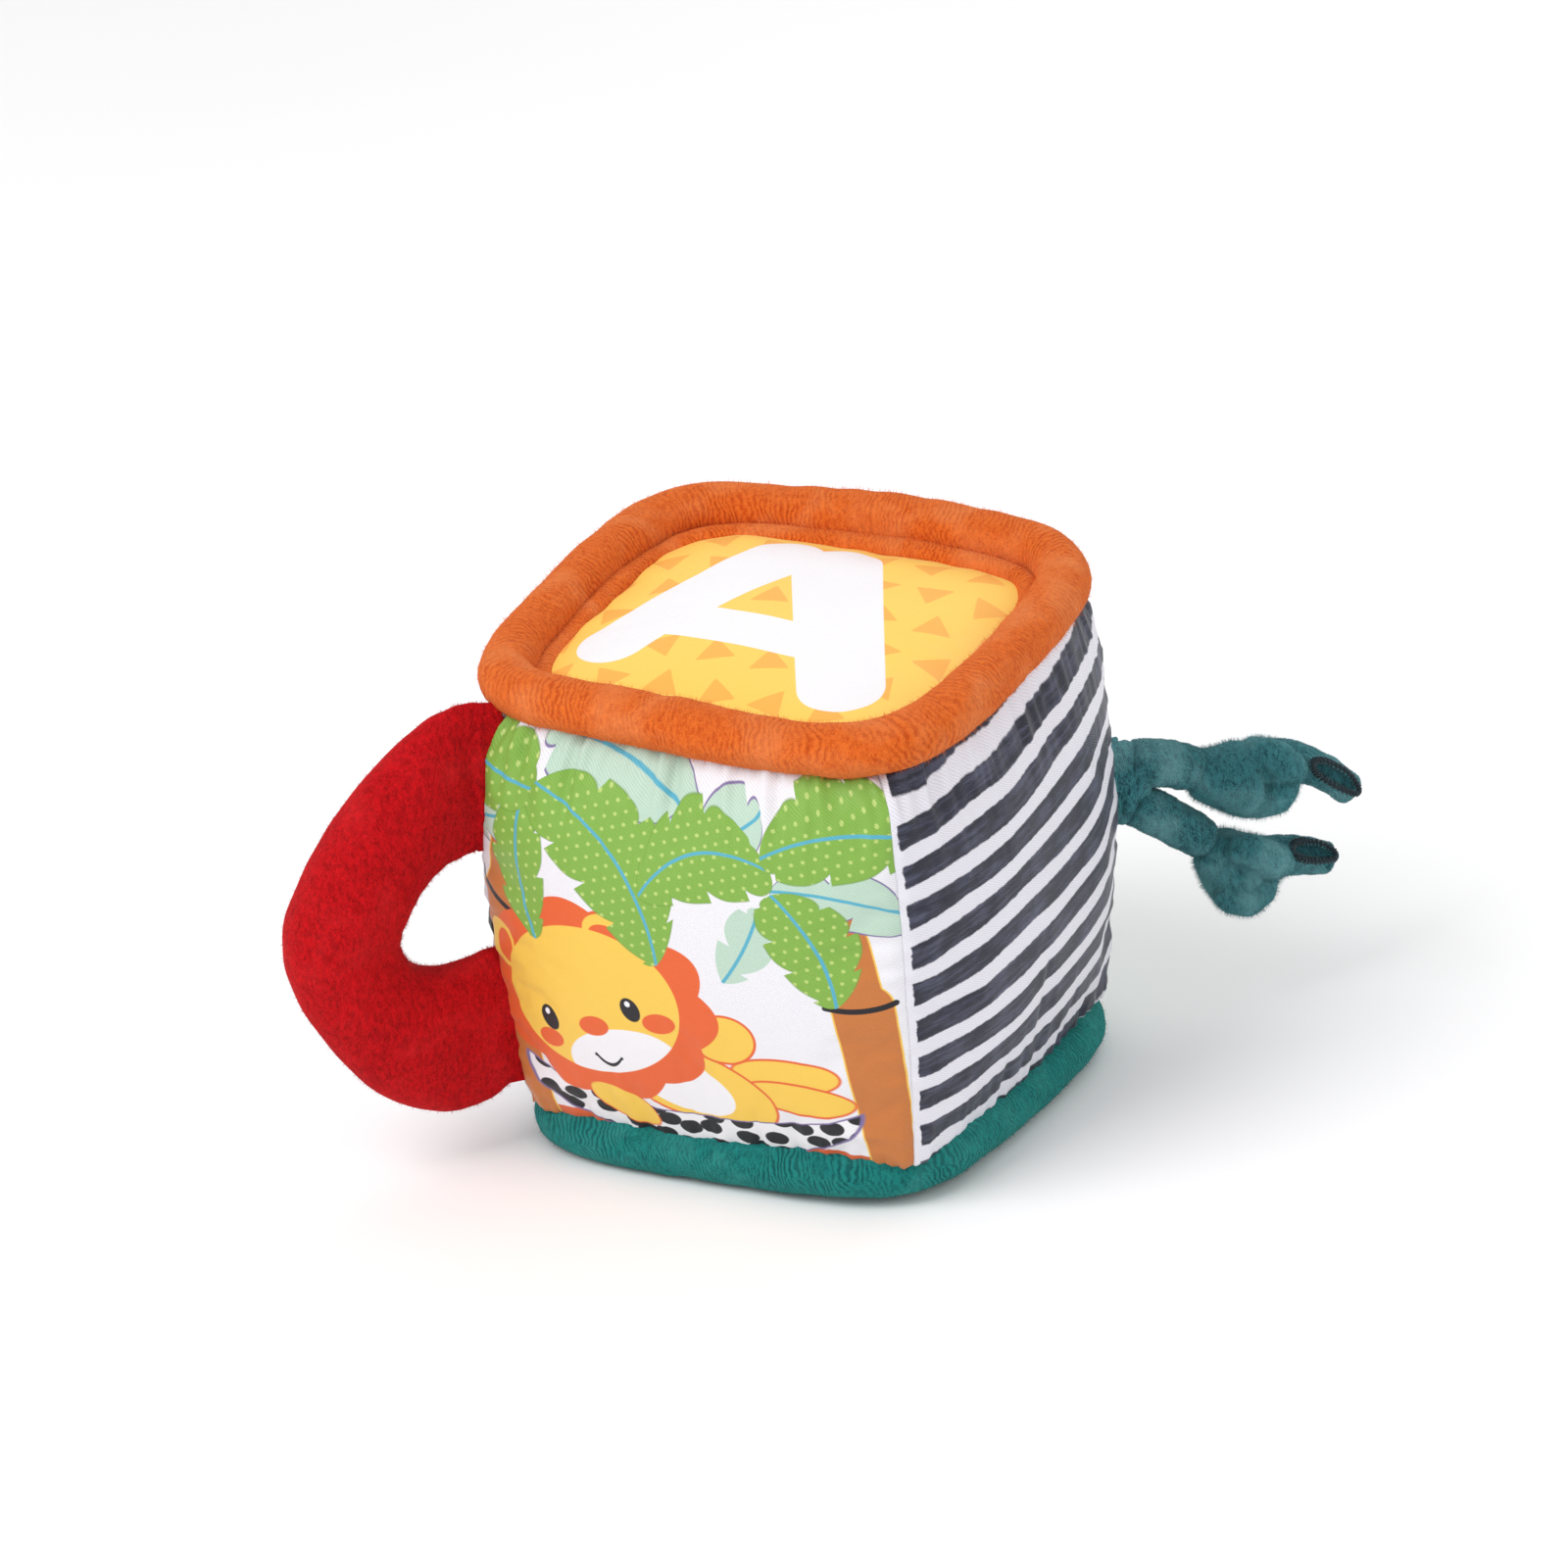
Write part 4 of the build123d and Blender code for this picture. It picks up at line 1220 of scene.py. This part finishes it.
def stitchRing(name, edge, count, seed):
    # overlock thread: a cord of thread round the slit with slanting stitches over it
    points, faces = [], []

    def strand(path, radius, sides=6):
        start = len(points)
        for k, place in enumerate(path):
            way = (path[min(k + 1, len(path) - 1)] - path[max(k - 1, 0)]).normalized()
            side = way.cross(Vector((0.3, 0.5, 0.8))).normalized()
            up = side.cross(way)
            for m in range(sides):
                a = m / sides * math.tau
                points.append(place + (side * math.cos(a) + up * math.sin(a)) * radius)
        for k in range(len(path) - 1):
            for m in range(sides):
                n = (m + 1) % sides
                low, high = start + k * sides, start + (k + 1) * sides
                faces.append((low + m, low + n, high + n, high + m))
        faces.append(tuple(start + m for m in reversed(range(sides))))
        faces.append(tuple(start + (len(path) - 1) * sides + m for m in range(sides)))

    for k in range(count):
        a = k / count
        lean = 0.30 / count
        reach = 0.85 + 0.12 * noise.noise(Vector((k * 1.7, seed, 0)))
        over = ((0, -1, -0.20), (0.5, -0.5, 0.42), (1, 0, 0.58), (1.5, 0.5, 0.42), (2, 1, -0.10))
        strand([edge(a + lean * along, reach * share, lift) for along, share, lift in over], thread["stitch"])
    strand([edge(k / thread["steps"], 0.0, 0.02) for k in range(thread["steps"] + 1)], thread["cord"])
    return makePiece(name, points, faces)


edgingThread, tree = newMaterial("edging thread", sheen=0.2, specular=0.3)
twist = {"Vector": objectPlace(tree), "Scale": 900.0, "Distortion": 2.0}
twist = addNode(tree, "TexWave", twist, bands_direction="DIAGONAL").outputs["Fac"]
threadColour = mixColour(tree, twist, rgb(8, 24, 32), rgb(20, 50, 60))
finishSurface(tree, threadColour, calc(tree, "MULTIPLY_ADD", twist, 0.2, 0.5), twist, 0.5, 0.0002)

# root: the two straps are one band, folded double and caught in the seam
rootPath = ((-4.5, 63.8, 0), (-1.0, 63.6, 0), (3.0, 62.8, 0), (7.4, 61.8, 0))
root = tubePiece("leg_root_plush", rootPath, (2.2, 3.0, 3.9, 2.6), (10.8, 10.9, 9.8, 5.5), 40, 40, 0.5, 2.0)
dress(root, darkTealPlush, "dark_teal_plush", standsFor="leg_fold")
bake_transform(root)

slit = {"middle": 0.69, "half": 0.25, "turn": 0.47, "depth": 1.7}     # shares of the tail's length; radians round it


def slitPoint(surfaceAt, setup, a, size, beyond, lift):
    # a point on an oval of the given size round the slit, so many mm outside it and so many mm off the cloth
    share = slit["middle"] + (slit["half"] * size + beyond / setup["tailLong"]) * math.cos(a)
    turn = (setup["openTurn"] + (slit["turn"] * size + beyond / 4.2) * math.sin(a)) / math.tau
    point = surfaceAt(turn, share, False)
    across = surfaceAt(turn + 0.01, share, False) - surfaceAt(turn - 0.01, share, False)
    along = surfaceAt(turn, share + 0.01, False) - surfaceAt(turn, share - 0.01, False)
    return point + along.cross(across).normalized() * (lift * mm)


for leg, setup in legs.items():
    seed = setup["seed"]
    strap = tubePiece(leg + "_strap_plush", setup["strap"], (4.2, 5.0, 5.2, 5.0, 4.4), setup["strapWide"], 70, 32, 0.45, seed)
    knot = buildKnot(leg + "_knot_plush", setup)
    path = [Vector(p) for p in setup["tail"]]

    def tailPoint(u, v, cut=True, path=path, seed=seed, setup=setup):
        # a stuffed tube with a rounded tip, and an oval slit in the side where it was turned out
        centre = glide(path, min(v, 1))
        way = (glide(path, min(v + 0.01, 1)) - glide(path, max(v - 0.01, 0))).normalized()
        off = Vector((0, 0, 1))
        tall = off.cross(way).normalized()
        off = way.cross(tall)
        turn = u * math.tau
        c, s = math.cos(turn), math.sin(turn)
        wide, high = glide((4.0, 4.5, 4.5, 4.2, 3.6), v), glide(setup["tailTall"], v)
        end = math.sqrt(max(1 - max((v - 0.9) / 0.1, 0) ** 2, 0)) * smoothStep(-0.02, 0.03, v)
        crease = noise.noise(Vector((v * 7 + seed, c * 1.2, s * 1.2))) * 0.5
        sideways = (turn - setup["openTurn"] + math.pi) % math.tau - math.pi
        away = math.hypot((v - slit["middle"]) / slit["half"], sideways / slit["turn"])
        dent = slit["depth"] * smoothStep(1.0, 0.72, away) if cut else 0.0
        ridge = 0.35 * math.exp(-(((away - 1.12) / 0.16) ** 2))
        out = off * (c * (wide + crease)) + tall * (s * (high + crease))
        return legPlace(*(centre + out * (end * (1 - (dent - ridge) / 4.4))))

    tail = gridPiece(leg + "_tail_plush", 72, 130, tailPoint, ringColumns=True, clothSize=(30, 28))

    def edge(a, beyond, lift):
        return slitPoint(tailPoint, setup, a * math.tau, 1.0, beyond + 0.35, lift)

    def liningPoint(u, v):
        ripple = 0.15 * noise.noise(Vector((math.cos(u * math.tau) * v * 4, math.sin(u * math.tau) * v * 4, seed)))
        return slitPoint(tailPoint, setup, u * math.tau, v * 0.97 + 0.001, 0.0, -0.55 - 0.45 * (1 - v * v) + ripple)

    edging = stitchRing(leg + "_tail_stitching", edge, thread["stitches"], seed)
    lining = gridPiece(leg + "_tail_lining", 48, 16, liningPoint, ringColumns=True, clothSize=(30, 12))
    body, end = leg + "_leg", leg + "_leg_end"
    dress(strap, darkTealPlush, "dark_teal_plush", standsFor=leg + "_leg_strap")
    dress(knot, darkTealPlush, "dark_teal_plush", end, leg + "_leg_knot")
    dress(tail, darkTealPlush, "dark_teal_plush", end, leg + "_leg_tail")
    dress(edging, edgingThread, "edging_thread", end, standsFor=leg + "_tail_edging")
    dress(lining, shadedSlitLining, "edging_thread", end)
    lengths = [fringe(piece, count, 1.35, int(seed) + count, "dark_teal_plush", rides)
               for piece, count, rides in ((strap, 6000, None), (knot, 9000, end), (tail, 5000, end))]
    # the strap and its fibres have their placement baked into their points
    for piece in (strap, lengths[0]):
        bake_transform(piece)
print("legs built")

# inside: stuffing, crinkle film and rattle
capsuleLow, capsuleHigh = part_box("rattle_capsule_lower"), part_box("rattle_capsule_upper")
capsuleMiddle = (capsuleLow[0] + capsuleHigh[1]) / 2
pocket = (capsuleHigh[1].z - capsuleLow[0].z) / 2 + 0.0008
filling = {
    "low": 0.06, "high": 0.93,     # where on the sleeve, from bottom to top, the stuffing's ends turn in
    "inset": 0.945,                # of the sleeve's own reach
    "underTop": 0.0085,            # clear of the top cushion
    "gap": 0.004,                  # half the gap between the two halves, as a share of the sleeve's height
}


def battPoint(lower):
    # the outline from the middle of the far face, round the outside, to the middle of the pocket
    def pointAt(u, v):
        turn = u * 4 % 4
        split = (capsuleMiddle.z - 0.0116) / 0.101     # the rattle's height as a share of the sleeve's
        middle = split - filling["gap"] if lower else split + filling["gap"]
        angle = math.atan2(shellPoint(turn, 0.5).y, shellPoint(turn, 0.5).x)
        way = Vector((math.cos(angle), math.sin(angle), 0))
        if v < 0.2:
            edge = shellPoint(turn, filling["low"] if lower else filling["high"])
            place = Vector((edge.x, edge.y, 0)) * (v / 0.2) * 0.93
            place.z = 0.0150 if lower else topHeightAt(place.x, place.y) - filling["underTop"] + 0.0050 * (1 - (v / 0.2) ** 3)
            return place
        if v < 0.6:
            share = (v - 0.2) / 0.4
            start = filling["low"] if lower else filling["high"]
            edge = shellPoint(turn, start + (middle - start) * share)
            height = edge.z if lower else min(edge.z, topHeightAt(edge.x, edge.y) - filling["underTop"])
            return Vector((edge.x * filling["inset"], edge.y * filling["inset"], height))
        z = capsuleMiddle.z + (-0.0002 if lower else 0.0002)
        if v < 0.8:
            edge = shellPoint(turn, middle) * filling["inset"]
            share = (v - 0.6) / 0.2
            reach = Vector((edge.x, edge.y, 0)).length * (1 - share) + pocket * share
            place = way * reach
            place.z = z
            return place
        angle = (v - 0.8) / 0.2 * math.pi / 2
        place = way * pocket * math.cos(angle)
        place.z = z + pocket * math.sin(angle) * (-1 if lower else 1)
        return place
    return pointAt


fibreFilling, tree = newMaterial("fibre filling", sheen=0.6, specular=0.1)
fluff = noiseOn(tree, objectPlace(tree), 260.0, detail=6.0, roughness=0.75, distortion=1.5)
fluffColour = mixColour(tree, fluff, rgb(214, 212, 206), rgb(252, 251, 248))
finishSurface(tree, fluffColour, calc(tree, "MULTIPLY_ADD", fluff, 0.2, 0.78), fluff, 1.0, 0.002)
for name, lower in (("lower_filling", True), ("upper_filling", False)):
    batt = gridPiece(name.replace("filling", "batt"), 88, 60, battPoint(lower), ringColumns=True)
    dress(batt, fibreFilling, "fibre_filling", "cube", name)
dress(handleStuffing, fibreFilling, "fibre_filling")
for piece in (topCord, bottomCord):
    dress(piece, fibreFilling, "fibre_filling", "cube")


def plasticMaterial(name, colour, scale, roughness, bump):
    material, tree = newMaterial(name, specular=0.5)
    grain = noiseOn(tree, objectPlace(tree), scale, detail=4.0)
    shaded = mixColour(tree, calc(tree, "MULTIPLY", grain, 0.4), colour, rgb(60, 60, 66), "MULTIPLY")
    finishSurface(tree, shaded, calc(tree, "MULTIPLY_ADD", grain, 0.2, roughness), grain, bump, 0.0004)
    return material


rattleShell = plasticMaterial("rattle shell", rgb(226, 228, 232), 320.0, 0.28, 0.08)
rattleBead = plasticMaterial("rattle bead", rgb(208, 60, 48), 500.0, 0.25, 0.1)
crinkleFilm = plasticMaterial("crinkle film", rgb(214, 222, 230), 90.0, 0.12, 0.9)


sheetSetup = {"start": 0.16, "wide": 0.68, "under": 0.0019, "crinkle": 0.0004, "thickness": 0.0002, "cells": 60}


def filmPoint(u, v):
    turn, level = 1 + sheetSetup["start"] + u * sheetSetup["wide"], sheetSetup["start"] + v * sheetSetup["wide"]
    crinkle = sheetSetup["crinkle"] * noise.noise(Vector((u * 14, v * 14, 3)))
    return shellPoint(turn, level) - outward(turn, level) * (sheetSetup["under"] + crinkle)


film = gridPiece("crinkle_sheet", sheetSetup["cells"], sheetSetup["cells"], filmPoint)
addModifier(film, "SOLIDIFY", thickness=sheetSetup["thickness"], offset=0)
dress(film, crinkleFilm, "crinkle_film", "cube", standsFor="crinkle_film")

nodePaint = {
    "rattle_capsule_lower": rattleShell, "rattle_capsule_upper": rattleShell, "rattle_beads": rattleBead,
    "handle_upper_tab": redPlush, "handle_lower_tab": redPlush, "leg_seam_tab": darkTealPlush,
}
for name, material in nodePaint.items():
    paintWith(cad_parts[name], material)
print("inside built")

# floor and light
room = {"key": 13.0, "fill": 2.5, "back": 5.0, "world": 0.74, "exposure": 0.0}


def addLamp(name, place, target, power, size):
    lamp = bpy.data.objects.new(name, bpy.data.lights.new(name, "AREA"))
    lamp.data.energy, lamp.data.size = power, size
    lamp.location = place
    lamp.rotation_euler = (Vector(target) - Vector(place)).to_track_quat("-Z", "Y").to_euler()
    bpy.context.scene.collection.objects.link(lamp)
    return lamp


floor = makePiece("floor", [(-4, -4, 0), (4, -4, 0), (4, 4, 0), (-4, 4, 0)], [(0, 1, 2, 3)])
floorPaint, tree = newMaterial("pale floor", specular=0.2)
mottle = noiseOn(tree, objectPlace(tree), 3.0)
shader = tree.nodes["Principled BSDF"]
tree.links.new(mixColour(tree, mottle, rgb(246, 246, 247), rgb(252, 252, 253)), shader.inputs["Base Color"])
shader.inputs["Roughness"].default_value = 0.7
paintWith(floor, floorPaint)
lamps = [
    addLamp("key_lamp", (-0.5, -0.9, 1.3), (0, 0, 0.05), room["key"], 0.9),
    addLamp("fill_lamp", (1.3, -0.5, 0.8), (0, 0, 0.06), room["fill"], 1.0),
    addLamp("back_lamp", (0.2, 1.4, 1.2), (0, 0, 0.06), room["back"], 1.2),
]
world = bpy.data.worlds.new("soft white")
bpy.context.scene.world = world
world.use_nodes = True
world.node_tree.nodes["Background"].inputs["Color"].default_value = (1.0, 1.0, 1.0, 1.0)
world.node_tree.nodes["Background"].inputs["Strength"].default_value = room["world"]
bpy.context.scene.view_settings.view_transform = "Standard"
bpy.context.scene.view_settings.exposure = room["exposure"]

print("room built")
